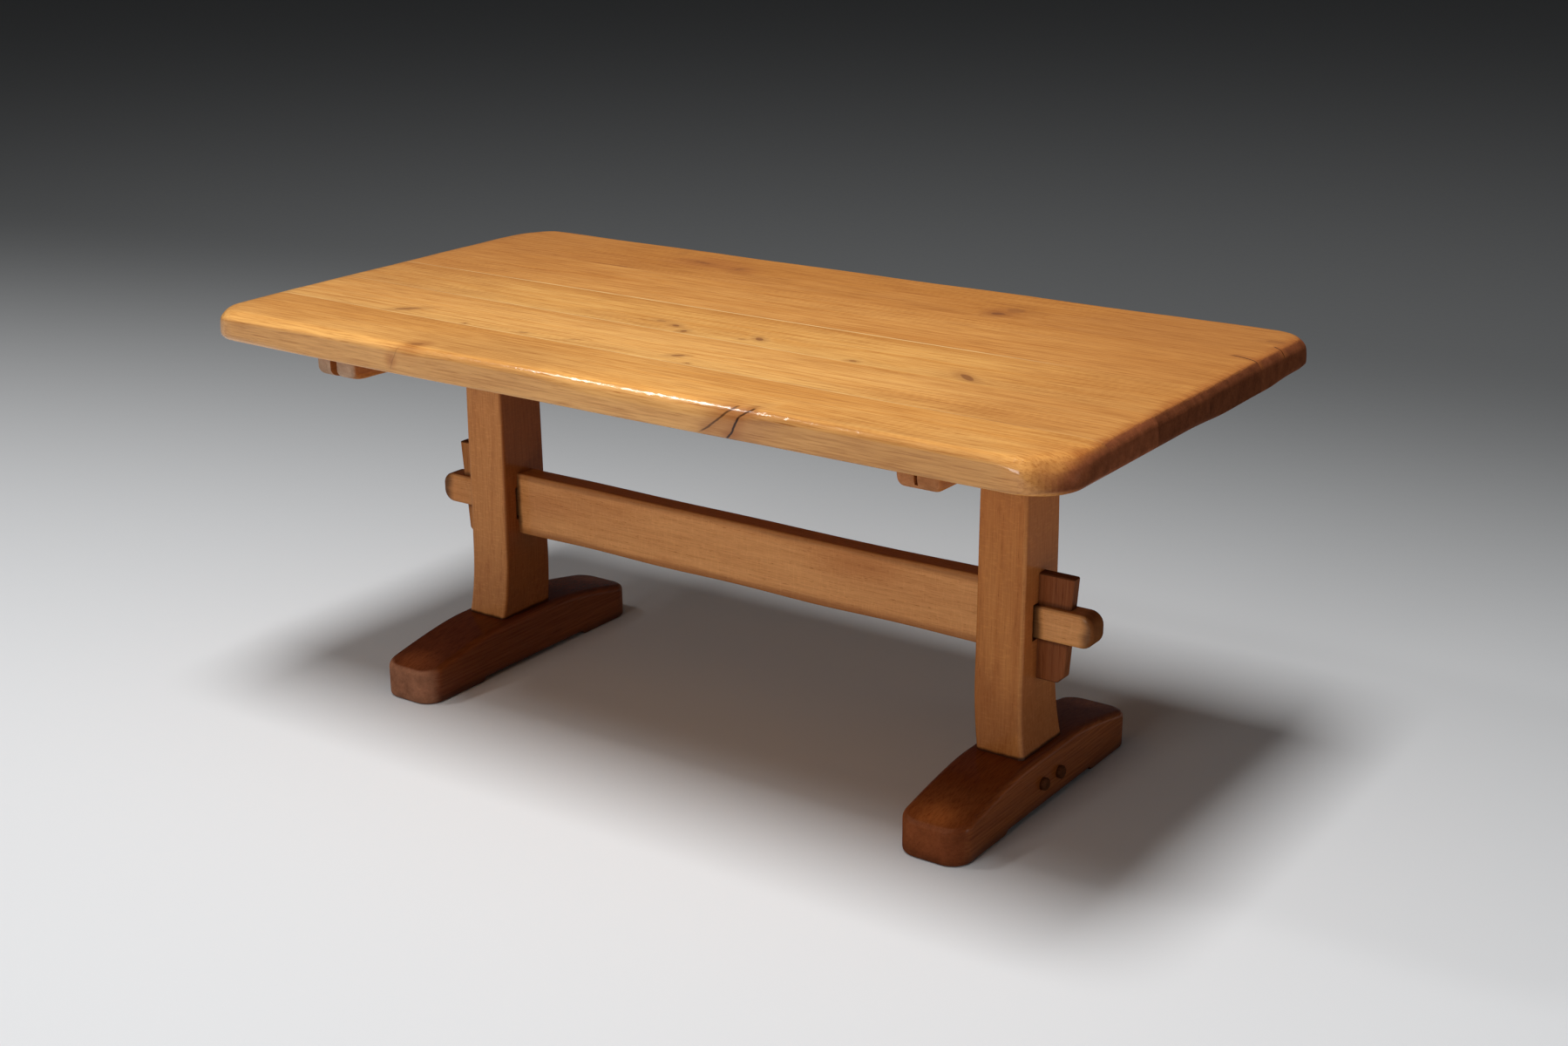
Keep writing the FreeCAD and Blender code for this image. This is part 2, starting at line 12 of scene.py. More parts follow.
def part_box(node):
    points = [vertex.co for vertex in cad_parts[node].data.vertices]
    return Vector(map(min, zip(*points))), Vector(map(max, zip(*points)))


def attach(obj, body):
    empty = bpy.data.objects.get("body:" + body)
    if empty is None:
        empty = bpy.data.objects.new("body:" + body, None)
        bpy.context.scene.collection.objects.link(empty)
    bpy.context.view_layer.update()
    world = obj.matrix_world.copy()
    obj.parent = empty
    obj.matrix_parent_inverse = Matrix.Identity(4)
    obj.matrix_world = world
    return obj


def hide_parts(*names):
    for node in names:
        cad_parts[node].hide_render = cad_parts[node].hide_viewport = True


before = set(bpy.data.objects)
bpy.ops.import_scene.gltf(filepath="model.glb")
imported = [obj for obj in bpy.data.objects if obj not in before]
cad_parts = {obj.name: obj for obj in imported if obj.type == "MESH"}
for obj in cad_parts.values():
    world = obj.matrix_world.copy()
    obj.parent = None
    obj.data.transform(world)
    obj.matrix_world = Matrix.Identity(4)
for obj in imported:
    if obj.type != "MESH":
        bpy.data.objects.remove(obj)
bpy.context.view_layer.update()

log = logging.getLogger("trestle_table")

Socket = bpy.types.NodeSocket
Material = bpy.types.Material
Colour = tuple[float, float, float]
Place = tuple[float, float, float]
Scales = tuple[float, float, float]
Span = tuple[float, float]

# Length and width of the top, in metres.
TOP_LENGTH = 1.745
TOP_WIDTH = 0.904
# How far red, green and blue sink where varnished wood darkens.
SHADE_SHARES = (0.80, 1.05, 1.25)


class Grain(Enum):
    """Direction in which the fibres of a piece run."""

    ALONG_TABLE = "XYZ"
    ACROSS_TABLE = "YZX"
    UPRIGHT = "ZXY"


class Axis(IntEnum):
    """An axis of the table."""

    LENGTH = 0
    WIDTH = 1
    HEIGHT = 2


class Value:
    """A number that varies from place to place; sums and products of values add their own nodes."""

    def __init__(self, tree: "Tree", socket: Socket) -> None:
        """Wraps the output socket of a tree that carries the number."""
        self.tree = tree
        self.socket = socket

    def _math(self, operation: str, first: "Value | float", second: "Value | float" = 0.0) -> "Value":
        """Adds one Math node and gives its result."""
        made = self.tree.node("ShaderNodeMath", {"operation": operation}, {0: first, 1: second})
        return Value(self.tree, made.outputs[0])

    def __add__(self, other: "Value | float") -> "Value":
        """Sum."""
        return self._math("ADD", self, other)

    __radd__ = __add__

    def __sub__(self, other: "Value | float") -> "Value":
        """Difference."""
        return self._math("SUBTRACT", self, other)

    def __rsub__(self, other: float) -> "Value":
        """Difference from a plain number."""
        return self._math("SUBTRACT", other, self)

    def __mul__(self, other: "Value | float") -> "Value":
        """Product."""
        return self._math("MULTIPLY", self, other)

    __rmul__ = __mul__

    def __truediv__(self, other: "Value | float") -> "Value":
        """Quotient."""
        return self._math("DIVIDE", self, other)

    def __rtruediv__(self, other: float) -> "Value":
        """Quotient of a plain number."""
        return self._math("DIVIDE", other, self)

    def size(self) -> "Value":
        """The number without its sign."""
        return self._math("ABSOLUTE", self)

    def sign(self) -> "Value":
        """Its sign alone."""
        return self._math("SIGN", self)

    def root(self) -> "Value":
        """Square root."""
        return self._math("SQRT", self)

    def sine(self) -> "Value":
        """Sine of an angle in radians."""
        return self._math("SINE", self)

    def cosine(self) -> "Value":
        """Cosine of an angle in radians."""
        return self._math("COSINE", self)

    def fraction(self) -> "Value":
        """What is left after the whole part is taken off."""
        return self._math("FRACT", self)

    def larger(self, other: "Value | float") -> "Value":
        """The larger of two numbers."""
        return self._math("MAXIMUM", self, other)

    def fade(self, low: float, high: float) -> "Value":
        """Smooth climb from 0 at low to 1 at high; it falls when low is above high.

        Args:
            low: Where the climb starts.
            high: Where it ends.

        Returns:
            A number from 0 to 1.
        """
        first, last = min(low, high), max(low, high)
        made = self.tree.node(
            "ShaderNodeMapRange",
            {"interpolation_type": "SMOOTHSTEP"},
            {"Value": self, "From Min": first, "From Max": last},
        )
        climb = Value(self.tree, made.outputs[0])
        return climb if low <= high else 1.0 - climb


class Tree:
    """A node tree, of a material or of a shape."""

    def __init__(self, tree: bpy.types.NodeTree) -> None:
        """Takes a tree and empties it."""
        self.tree = tree
        self.tree.nodes.clear()

    def node(
        self,
        kind: str,
        settings: dict[str, Any] | None = None,
        sockets: dict[str | int, Any] | None = None,
    ) -> bpy.types.Node:
        """Adds a node.

        Args:
            kind: The node's type.
            settings: Its own settings, which are set first; stops fills a ramp, items adds switch items.
            sockets: Numbers, colours or links for its inputs, by name or place.

        Returns:
            The node.
        """
        made = self.tree.nodes.new(kind)
        for key, setting in (settings or {}).items():
            if key == "stops":
                self._fill_ramp(made.color_ramp, setting)
            elif key == "items":
                while len(made.index_switch_items) < setting:
                    made.index_switch_items.new()
            else:
                setattr(made, key, setting)
        for key, value in (sockets or {}).items():
            self._feed(made.inputs[key], value)
        return made

    def made(self, kind: str, sockets: dict[str | int, Any]) -> Socket:
        """Adds a node that has no settings of its own and gives its first output."""
        return self.node(kind, {}, sockets).outputs[0]

    def _feed(self, socket: Socket, value: Any) -> None:
        """Links or sets one input.

        Args:
            socket: The input.
            value: A value, a socket, a list of sockets, a number or a colour.
        """
        if isinstance(value, Value):
            self.tree.links.new(value.socket, socket)
        elif isinstance(value, Socket):
            self.tree.links.new(value, socket)
        elif isinstance(value, list):
            for each in value:
                self.tree.links.new(each, socket)
        elif socket.type == "RGBA" and len(value) == 3:
            socket.default_value = (*value, 1.0)
        else:
            socket.default_value = value

    @staticmethod
    def _fill_ramp(ramp: bpy.types.ColorRamp, stops: Sequence[tuple[float, float]]) -> None:
        """Sets the stops of a grey ramp.

        Args:
            ramp: The ramp.
            stops: Places and brightnesses, in order.
        """
        while len(ramp.elements) < len(stops):
            ramp.elements.new(1.0)
        for element, (place, level) in zip(ramp.elements, stops):
            element.position = place
            element.color = (level, level, level, 1.0)

    def split(self, vector: Socket, order: str) -> tuple[Value, Value, Value]:
        """The parts of a vector in a given order of axes, such as YZX."""
        made = self.node("ShaderNodeSeparateXYZ", {}, {0: vector})
        return tuple(Value(self, made.outputs[axis]) for axis in order)

    def point(self, x: Value | float, y: Value | float, z: Value | float) -> Socket:
        """A vector from three values."""
        return self.made("ShaderNodeCombineXYZ", {0: x, 1: y, 2: z})

    def noise(self, place: Socket, detail: float, roughness: float = 0.5) -> Value:
        """Noise at a scale of one.

        Args:
            place: The vector to read it at.
            detail: How many finer layers are added.
            roughness: How strong the finer layers are.

        Returns:
            A number around one half.
        """
        made = self.node(
            "ShaderNodeTexNoise",
            {"noise_dimensions": "3D"},
            {"Vector": place, "Scale": 1.0, "Detail": detail, "Roughness": roughness},
        )
        return Value(self, made.outputs[0])


class Shader(Tree):
    """The node tree of one material."""

    def __init__(self, name: str) -> None:
        """Starts an empty material.

        Args:
            name: The material's name.
        """
        self.material = bpy.data.materials.new(name)
        self.material.use_nodes = True
        super().__init__(self.material.node_tree)

    def axes(self, order: str) -> tuple[Value, Value, Value]:
        """Object coordinates in a given order of axes."""
        return self.split(self.node("ShaderNodeTexCoord").outputs["Object"], order)

    def facing(self, order: str) -> tuple[Value, Value, Value]:
        """How the surface faces each axis, from -1 to 1, in a given order of axes."""
        return self.split(self.node("ShaderNodeTexCoord").outputs["Normal"], order)

    def ramp(self, value: Value, stops: Sequence[tuple[float, float]]) -> Value:
        """A grey ramp read at a value."""
        made = self.node("ShaderNodeValToRGB", {"stops": stops}, {0: value})
        return Value(self, made.outputs[0])

    def mix(self, share: Value | float, first: Any, second: Any) -> Socket:
        """Colour between two colours, with the given share of the second."""
        made = self.node("ShaderNodeMix", {"data_type": "RGBA"}, {0: share, 6: first, 7: second})
        return made.outputs[2]

    def scaled(self, colour: Any, levels: Sequence[Value]) -> Socket:
        """Colour with red, green and blue each times a level of its own."""
        sockets = {0: colour, 1: self.point(*levels)}
        return self.node("ShaderNodeVectorMath", {"operation": "MULTIPLY"}, sockets).outputs[0]

    def darken(self, colour: Any, level: Value) -> Socket:
        """Colour times a brightness, where 1 leaves it alone."""
        return self.scaled(colour, [level] * 3)

    def shade(self, colour: Any, depth: Value) -> Socket:
        """Colour made darker and redder, as in fibres and pores, where 0 leaves it alone."""
        return self.scaled(colour, [1.0 - depth * share for share in SHADE_SHARES])

    def bump(self, height: Value, distance: float, strength: float, under: Any = None) -> Socket:
        """Relief from a height.

        Args:
            height: The height, in shares of the distance.
            distance: The height's full scale, in metres.
            strength: How much of it shows.
            under: A relief that it is added to.

        Returns:
            The normal's socket.
        """
        sockets = {"Height": height, "Distance": distance, "Strength": strength}
        if under is not None:
            sockets["Normal"] = under
        return self.made("ShaderNodeBump", sockets)

    def surface(self, sockets: dict[str, Any]) -> Material:
        """Ends the tree in one Principled surface.

        Args:
            sockets: The surface's inputs.

        Returns:
            The finished material.
        """
        skin = self.node("ShaderNodeBsdfPrincipled", {}, sockets)
        self.node("ShaderNodeOutputMaterial", {}, {"Surface": skin.outputs[0]})
        return self.material


class Shape(Tree):
    """A Geometry Nodes tree with named inputs."""

    def __init__(self, name: str) -> None:
        """Starts a tree that takes a shape and gives one back.

        Args:
            name: The tree's name.
        """
        super().__init__(bpy.data.node_groups.new(name, "GeometryNodeTree"))
        self.tree.is_modifier = True
        self.tree.interface.new_socket("Geometry", in_out="INPUT", socket_type="NodeSocketGeometry")
        self.tree.interface.new_socket("Geometry", in_out="OUTPUT", socket_type="NodeSocketGeometry")
        self.entry = self.node("NodeGroupInput")
        self.settings: dict[str, Any] = {}

    def input(self, name: str, value: float) -> Value:
        """Adds a named number, which the piece sets to a value."""
        self._declare(name, "NodeSocketFloat", value)
        return Value(self, self.entry.outputs[name])

    def inputs(self, piece: Any, names: str) -> list[Value]:
        """Adds a named number for each of several sizes of a piece."""
        return [self.input(name.replace("_", " ").title(), getattr(piece, name)) for name in names.split()]

    def _declare(self, name: str, kind: str, value: Any) -> None:
        """Adds a named input and keeps the value that goes in."""
        made = self.tree.interface.new_socket(name, in_out="INPUT", socket_type=kind)
        self.settings[made.identifier] = value

    @property
    def start(self) -> Socket:
        """The shape that comes in."""
        return self.entry.outputs["Geometry"]

    def place(self) -> Socket:
        """Where each point is."""
        return self.node("GeometryNodeInputPosition").outputs[0]

    def moved(self, shape: Socket, offset: Socket) -> Socket:
        """The shape with its points moved."""
        return self.made("GeometryNodeSetPosition", {"Geometry": shape, "Offset": offset})

    def finish(self, shape: Socket, material: Material) -> None:
        """Ends the tree: everything made real, in one material.

        Args:
            shape: The last shape.
            material: Its finish.
        """
        self._declare("Finish", "NodeSocketMaterial", material)
        real = self.made("GeometryNodeRealizeInstances", {"Geometry": shape})
        finish = self.entry.outputs["Finish"]
        dressed = self.made("GeometryNodeSetMaterial", {"Geometry": real, "Material": finish})
        self.node("NodeGroupOutput", {}, {"Geometry": dressed})

    def apply(self, name: str, mesh: bpy.types.Mesh) -> bpy.types.Object:
        """Works a mesh with the tree and keeps the result as a plain mesh.

        Args:
            name: The new piece's name.
            mesh: The mesh that goes in.

        Returns:
            The piece.
        """
        piece = bpy.data.objects.new(name, mesh)
        bpy.context.scene.collection.objects.link(piece)
        modifier = piece.modifiers.new(self.tree.name, "NODES")
        modifier.node_group = self.tree
        for identifier, value in self.settings.items():
            modifier[identifier] = value
        worked = piece.evaluated_get(bpy.context.evaluated_depsgraph_get())
        result = bpy.data.meshes.new_from_object(worked)
        piece.modifiers.clear()
        piece.data = result
        log.info("%s made, %d faces", name, len(result.polygons))
        return piece


def place_piece(piece: bpy.types.Object, nodes: Sequence[str]) -> None:
    """Puts a made piece in the place of packed ones.

    Args:
        piece: The made piece.
        nodes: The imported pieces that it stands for.
    """
    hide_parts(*nodes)
    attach(piece, "table_frame")


def dress(node: str, material: Material) -> None:
    """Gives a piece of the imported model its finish.

    Args:
        node: The piece's name.
        material: The finish.
    """
    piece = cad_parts[node]
    piece.data.materials.clear()
    piece.data.materials.append(material)
    log.info("%s wears %s", node, material.name)


@dataclass(frozen=True)
class Layer:
    """A layer of noise in the wood: waves per metre along and across the grain, and how fine it gets."""

    scales: Scales
    shift: float
    detail: float
    roughness: float = 0.5


SWAY = Layer((1.1, 4.5, 4.5), 0.0, 2.0)
TREMBLE = Layer((6.0, 34.0, 34.0), 11.0, 3.0)
FIBRES = Layer((10.0, 280.0, 280.0), 23.0, 4.0, 0.68)
BANDS = Layer((1.8, 46.0, 46.0), 37.0, 4.0, 0.62)
MOTTLE = Layer((2.4, 8.0, 8.0), 51.0, 3.0)
PORES = Layer((24.0, 480.0, 480.0), 67.0, 1.0)
SWELL = Layer((5.0, 9.0, 9.0), 83.0, 1.0)
PLANING = Layer((2.0, 5.0, 5.0), 91.0, 1.0)
TICKS = Layer((330.0, 70.0, 70.0), 97.0, 2.0)
RING_PROFILE = ((0.0, 0.0), (0.08, 0.25), (0.24, 0.80), (0.60, 1.0), (0.90, 0.75), (1.0, 0.0))


class Ground:
    """What the marks on a piece of wood read: where a point is, how its face lies, and a noise."""

    def __init__(self, shader: Shader, grain: Grain, seed: float) -> None:
        """Reads the piece's coordinates.

        Args:
            shader: The piece's material.
            grain: Direction of its fibres.
            seed: Moves the figure, so that no two pieces are alike.
        """
        self.shader = shader
        self.seed = seed
        self.place = self.along, self.side, self.depth = shader.axes(grain.value)
        self.face_along, self.face_side, self.face_depth = shader.facing(grain.value)
        self.spots = shader.axes("XYZ")
        self.faces = shader.facing("XYZ")
        self.tremble = self.noise(TREMBLE) - 0.5

    def noise(self, layer: Layer) -> Value:
        """Adds one layer of noise.

        Args:
            layer: The layer.

        Returns:
            A number around one half.
        """
        shift = self.seed + layer.shift
        moved = [axis * scale + shift for axis, scale in zip(self.place, layer.scales)]
        return self.shader.noise(self.shader.point(*moved), layer.detail, layer.roughness)

    def plane(self, on_front: bool) -> tuple[Value, Value]:
        """Coordinate across the grain on the front or upper face, and how far a point turns that way."""
        return (self.depth, 0.0 - self.face_side) if on_front else (self.side, self.face_depth)


@dataclass(frozen=True)
class Knot:
    """A knot, or a dark figure, on the face of a piece, in metres; fades count from 1 at its rim."""

    along: float
    across: float
    length: float
    breadth: float
    turn: float = 0.0
    dark: float = 1.0
    swirl: float = 0.006
    on_front: bool = False
    swirl_fade: Span = (3.4, 0.0)
    heart_fade: Span = (1.0, 0.50)
    heart_share: float = 0.85
    halo_fade: Span = (2.6, 0.6)
    halo_share: float = 0.34
    face_fade: Span = (0.1, 0.5)
    ragged: float = 1.6

    def marks(self, ground: Ground) -> tuple[Value, Value]:
        """How the knot shows at a point.

        Args:
            ground: The piece's coordinates and faces.

        Returns:
            How far it swings the growth rings out, in metres, and how much of its colour shows.
        """
        other, facing = ground.plane(self.on_front)
        turn = math.radians(self.turn)
        dx = ground.along - self.along
        dy = other - self.across
        lengthwise = (dx * math.cos(turn) + dy * math.sin(turn)) / self.length
        crosswise = (dy * math.cos(turn) - dx * math.sin(turn)) / self.breadth
        away = (lengthwise * lengthwise + crosswise * crosswise).root() + ground.tremble * self.ragged
        heart = away.fade(*self.heart_fade) * (self.heart_share * self.dark)
        halo = away.fade(*self.halo_fade) * (self.halo_share * self.dark)
        spot = heart.larger(halo) * facing.fade(*self.face_fade)
        return away.fade(*self.swirl_fade) * self.swirl, spot


@dataclass(frozen=True)
class Crack:
    """A drying crack, or a stained line, on the front or the upper face of a plank, in metres."""

    start: tuple[float, float]
    end: tuple[float, float]
    width: float
    dark: float = 1.0
    on_front: bool = False
    sway: float = 0.012
    core: float = 0.3
    stain: float = 9.0
    first_fade: Span = (-0.12, 0.10)
    last_fade: Span = (1.12, 0.90)
    front_fade: Span = (0.08, 0.45)
    upper_fade: Span = (0.1, 0.5)

    def shares(self, ground: Ground) -> tuple[Value, Value]:
        """How much of the crack, and of the stain beside it, shows at a point.

        Args:
            ground: The piece's coordinates and faces.

        Returns:
            The crack's share and the stain's share, each from 0 to 1.
        """
        other, facing = ground.plane(self.on_front)
        run_along = self.end[0] - self.start[0]
        run_other = self.end[1] - self.start[1]
        length = math.hypot(run_along, run_other)
        dx = ground.along - self.start[0]
        dy = other - self.start[1]
        travelled = (dx * run_along + dy * run_other) / length**2
        aside = ((dx * run_other - dy * run_along) / length + ground.tremble * self.sway).size()
        inside = travelled.fade(*self.first_fade) * travelled.fade(*self.last_fade)
        turned = facing.fade(*(self.front_fade if self.on_front else self.upper_fade))
        line = aside.fade(self.width, self.width * self.core) * inside
        beside = aside.fade(self.width * self.stain, 0.0) * inside
        return line * turned * self.dark, beside * turned * self.dark


@dataclass(frozen=True)
class FaceTint:
    """Another colour on faces that look one way: a paler front, painted shade on an upper or a right side,
    or a painted highlight along an arris.
    """

    towards: Place
    colour: Colour
    share: float
    start: float = 0.45
    full: float = 0.95

    def share_at(self, ground: Ground) -> Value:
        """How much of the colour shows at a point, by the way its face looks."""
        x, y, z = (face * part for face, part in zip(ground.faces, self.towards))
        return (x + y + z).fade(self.start, self.full) * self.share


@dataclass(frozen=True)
class GrimeAndShade:
    """Another colour beside a joint, an edge or an end, at one place along an axis, in metres; the dark
    lines in joints are painted shade with dirt.
    """

    axis: Axis
    place: float
    reach: float
    share: float
    # Near black: painted shade in a joint, with dirt.
    colour: Colour = (0.050, 0.016, 0.006)
    ragged: float = 0.8
    core: float = 0.25

    def share_at(self, ground: Ground) -> Value:
        """How much of the colour shows at a point, by its distance from the joint."""
        beside = (ground.spots[self.axis] - self.place).size() + ground.tremble * self.reach * self.ragged
        return beside.fade(self.reach, self.reach * self.core) * self.share


@dataclass(frozen=True)
class Patch:
    """A stain, a paler spot or a spot of painted light, around one point of the table, in metres; stretched
    along the table.
    """

    place: Place
    reach: float
    colour: Colour
    share: float
    stretch: float = 1.0
    ragged: float = 0.5
    core: float = 0.15

    def share_at(self, ground: Ground) -> Value:
        """How much of the colour shows at a point, by its distance from the middle.

        Args:
            ground: The piece's coordinates and faces.

        Returns:
            A number from 0 to 1.
        """
        dx, dy, dz = (spot - middle for spot, middle in zip(ground.spots, self.place))
        dx = dx / self.stretch
        away = (dx * dx + dy * dy + dz * dz).root() / self.reach + ground.tremble * self.ragged
        return away.fade(1.0, self.core) * self.share


@dataclass(frozen=True)
class Strip:
    """A band of other colour along a line on the upper face of a plank, in metres."""

    left: float
    right: float
    reach: float
    colour: Colour
    share: float
    ends: tuple[float, float] = (-1.0, 1.0)
    end_reach: float = 0.12
    most_ragged: float = 0.9
    raggedness: float = 40.0
    narrow: float = 0.02
    narrow_core: float = 0.4
    face_fade: Span = (0.2, 0.8)

    def share_at(self, ground: Ground) -> Value:
        """How much of the colour shows at a point, by its distance from the line.

        Args:
            ground: The piece's coordinates and faces.

        Returns:
            A number from 0 to 1.
        """
        slope = (self.right - self.left) / TOP_LENGTH
        line = ground.along * slope + (self.left + self.right) / 2
        ragged = min(self.most_ragged, self.reach * self.raggedness)
        away = (ground.side - line) / self.reach + ground.tremble * ragged
        share = away.size().fade(1.0, self.narrow_core if self.reach < self.narrow else 0.0) * self.share
        for end, inwards in zip(self.ends, (self.end_reach, -self.end_reach)):
            share = share * ground.along.fade(end - inwards, end + inwards)
        return share * ground.face_depth.fade(*self.face_fade)


@dataclass(frozen=True)
class Oak:
    """Varnished oak: growth rings, fibres, pores and mottle as a solid figure."""

    name: str
    slot: str
    pale: Colour
    warm: Colour
    deep: Colour
    end: Colour
    end_share: float = 0.9
    end_fade: Span = (0.14, 0.66)
    far_end_fade: Span = (0.14, 0.66)
    end_dark: float = 0.3
    end_contrast: float = 1.4
    ring_spacing: float = 0.0075
    ring_sway: float = 0.030
    ring_tremble: float = 0.005
    ring_share: float = 0.40
    band_fade: Span = (0.15, 0.85)
    fibre: float = 0.34
    fibre_scales: Scales = FIBRES.scales
    fibre_fade: Span = (0.62, 0.30)
    pores: float = 0.36
    pore_scales: Scales = PORES.scales
    pore_fade: Span = (0.60, 0.72)
    mottle: float = 0.45
    mottle_fade: Span = (0.40, 0.74)
    chatter: float = 0.0
    chatter_waves: float = 400.0
    chatter_sway: float = 16.0
    chatter_fade: Span = (0.45, 0.65)
    chatter_face_fade: Span = (0.6, 0.95)
    flecks: float = 0.0
    fleck_fade: Span = (0.50, 0.72)
    fleck_level: float = 0.25
    tints: tuple[FaceTint, ...] = ()
    knot_colour: Colour = (0.215, 0.070, 0.021)
    crack_colour: Colour = (0.035, 0.011, 0.004)
    crack_stain: Colour = (0.30, 0.095, 0.026)
    crack_stain_share: float = 0.55
    crack_depth: float = 5.0
    roughness: float = 0.38
    specular: float = 0.0
    coat: float = 0.90
    coat_roughness: float = 0.16
    bare_end: float = 0.96
    wave: float = 0.0016
    relief: float = 0.00022
    relief_strength: float = 0.55

    def material(
        self,
        piece: str,
        grain: Grain,
        heart: tuple[float, float],
        seed: float,
        knots: Sequence[Knot] = (),
        strips: Sequence[Strip] = (),
        cracks: Sequence[Crack] = (),
        grime_and_shade: Sequence[GrimeAndShade] = (),
        patches: Sequence[Patch] = (),
    ) -> Material:
        """Builds the finish for one piece.

        Args:
            piece: The piece's name.
            grain: Direction of its fibres.
            heart: Where the middle of the tree was, on the two axes across the grain.
            seed: Moves the figure, so that no two pieces are alike.
            knots: Knots on its face.
            strips: Bands of other colour on its face.
            cracks: Cracks in its faces.
            grime_and_shade: Colour beside its joints, edges and ends; the dark lines in joints and along
                edges are painted shade.
            patches: Stains, paler spots and painted light.

        Returns:
            The material.
        """
        shader = Shader(f"{self.name}_{piece}")
        ground = Ground(shader, grain, seed)
        radius, core = self._growth(ground, heart, knots)
        rings = shader.ramp((radius / self.ring_spacing).fraction(), RING_PROFILE)
        fibres = ground.noise(replace(FIBRES, scales=self.fibre_scales))
        bands = ground.noise(BANDS)
        dashes = ground.noise(replace(PORES, scales=self.pore_scales))
        pores = dashes.fade(*self.pore_fade) * (1.0 - rings * 0.6)

        figure = rings * self.ring_share + bands.fade(*self.band_fade) * (1.0 - self.ring_share)
        colour = shader.mix(figure, self.warm, self.pale)
        mottle = ground.noise(MOTTLE).fade(*self.mottle_fade) * self.mottle
        colour = shader.mix(mottle, colour, self.deep)
        # Among these marks are painted shade on upper and side faces and in joints, painted highlights along
        # arrises, and painted light on the right post.
        for mark in (*strips, *self.tints, *patches, *grime_and_shade):
            colour = shader.mix(mark.share_at(ground), colour, mark.colour)
        near_end = ground.face_along.fade(*self.end_fade)
        ends = near_end.larger((0.0 - ground.face_along).fade(*self.far_end_fade))
        end_colour = shader.darken(self.end, self.end_dark + bands * self.end_contrast)
        colour = shader.mix(ends * self.end_share, colour, end_colour)
        shadow = fibres.fade(*self.fibre_fade) * self.fibre * (1.0 - ends * 0.6) + pores * (self.pores * 0.8)
        colour = shader.shade(colour, self._tooled(ground, shadow))
        if core is not None:
            colour = shader.mix(core, colour, self.knot_colour)
        split = None
        for crack in cracks:
            line, stain = crack.shares(ground)
            colour = shader.mix(stain * self.crack_stain_share, colour, self.crack_stain)
            colour = shader.mix(line, colour, self.crack_colour)
            split = line if split is None else split.larger(line)

        relief = fibres * 0.5 - pores + rings * 0.25
        if split is not None:
            relief = relief - split * self.crack_depth
        normal = shader.bump(ground.noise(SWELL), self.wave, self.relief_strength)
        normal = shader.bump(relief, self.relief, self.relief_strength, normal)
        rough = self.roughness + (1.0 - fibres) * 0.08 + pores * 0.18
        if core is not None:
            rough = rough + core * 0.10
        return shader.surface(
            {
                "Base Color": colour,
                "Roughness": rough,
                "Specular IOR Level": self.specular,
                "Coat Weight": (1.0 - ends * self.bare_end) * self.coat,
                "Coat Roughness": self.coat_roughness,
                "Normal": normal,
            }
        )

    def toned(self, tone: Colour, end_tone: float) -> "Oak":
        """The same finish in another tone.

        Args:
            tone: What red, green and blue are multiplied by.
            end_tone: What the end grain is multiplied by.

        Returns:
            The finish.
        """
        pale, warm, deep = (
            tuple(part * share for part, share in zip(colour, tone))
            for colour in (self.pale, self.warm, self.deep)
        )
        end = tuple(part * end_tone for part in self.end)
        return replace(self, pale=pale, warm=warm, deep=deep, end=end)

    def _growth(
        self, ground: Ground, heart: tuple[float, float], knots: Sequence[Knot]
    ) -> tuple[Value, Value | None]:
        """Distance from the middle of the tree, which knots swing out.

        Args:
            ground: The piece's coordinates and faces.
            heart: Where the middle of the tree was, on the two axes across the grain.
            knots: The knots.

        Returns:
            The distance in metres, and how much of the knots' colour shows if there are any.
        """
        sway = ground.noise(SWAY) - 0.5
        from_side = ground.side - heart[0]
        from_depth = ground.depth - heart[1]
        radius = (from_side * from_side + from_depth * from_depth).root()
        radius = radius + sway * self.ring_sway + ground.tremble * self.ring_tremble
        core = None
        for knot in knots:
            swing, spot = knot.marks(ground)
            radius = radius + swing
            core = spot if core is None else core.larger(spot)
        return radius, core

    def _tooled(self, ground: Ground, shadow: Value) -> Value:
        """Adds the ripple of the planing and the flecks across the grain, where the finish has them.

        Args:
            ground: The piece's coordinates and faces.
            shadow: How dark the fibres and pores make a point.

        Returns:
            How dark the point is.
        """
        if self.chatter:
            waves = ground.along * self.chatter_waves + ground.tremble * self.chatter_sway
            ripple = waves.sine() * 0.5 + 0.5
            worked = ground.noise(PLANING).fade(*self.chatter_fade)
            upper = ground.face_depth.fade(*self.chatter_face_fade)
            shadow = shadow + ripple * worked * upper * self.chatter
        if self.flecks:
            ticks = ground.noise(TICKS).fade(*self.fleck_fade)
            shadow = shadow - (ticks - self.fleck_level) * self.flecks
        return shadow


@dataclass(frozen=True)
class PlatedSteel:
    """Zinc-plated steel of the screws and washers."""

    name: str = "zinc_steel"
    slot: str = "zinc_steel"
    bright: Colour = (0.62, 0.63, 0.64)
    dull: Colour = (0.44, 0.45, 0.45)
    spangle_waves: float = 220.0
    scuff_waves: Scales = (900.0, 60.0, 900.0)
    spangle_fade: Span = (0.35, 0.65)
    roughness: float = 0.30
    relief: float = 0.0001
    relief_strength: float = 0.4

    def material(self) -> Material:
        """Builds the finish.

        Returns:
            The material.
        """
        shader = Shader(self.name)
        spots = shader.axes("XYZ")
        spangle = shader.noise(shader.point(*(spot * self.spangle_waves for spot in spots)), 3.0)
        stretched = [spot * waves for spot, waves in zip(spots, self.scuff_waves)]
        scuffs = shader.noise(shader.point(*stretched), 2.0)
        return shader.surface(
            {
                "Base Color": shader.mix(spangle.fade(*self.spangle_fade), self.bright, self.dull),
                "Metallic": 1.0,
                "Roughness": self.roughness + spangle * 0.15 + scuffs * 0.12,
                "Normal": shader.bump(scuffs, self.relief, self.relief_strength),
            }
        )


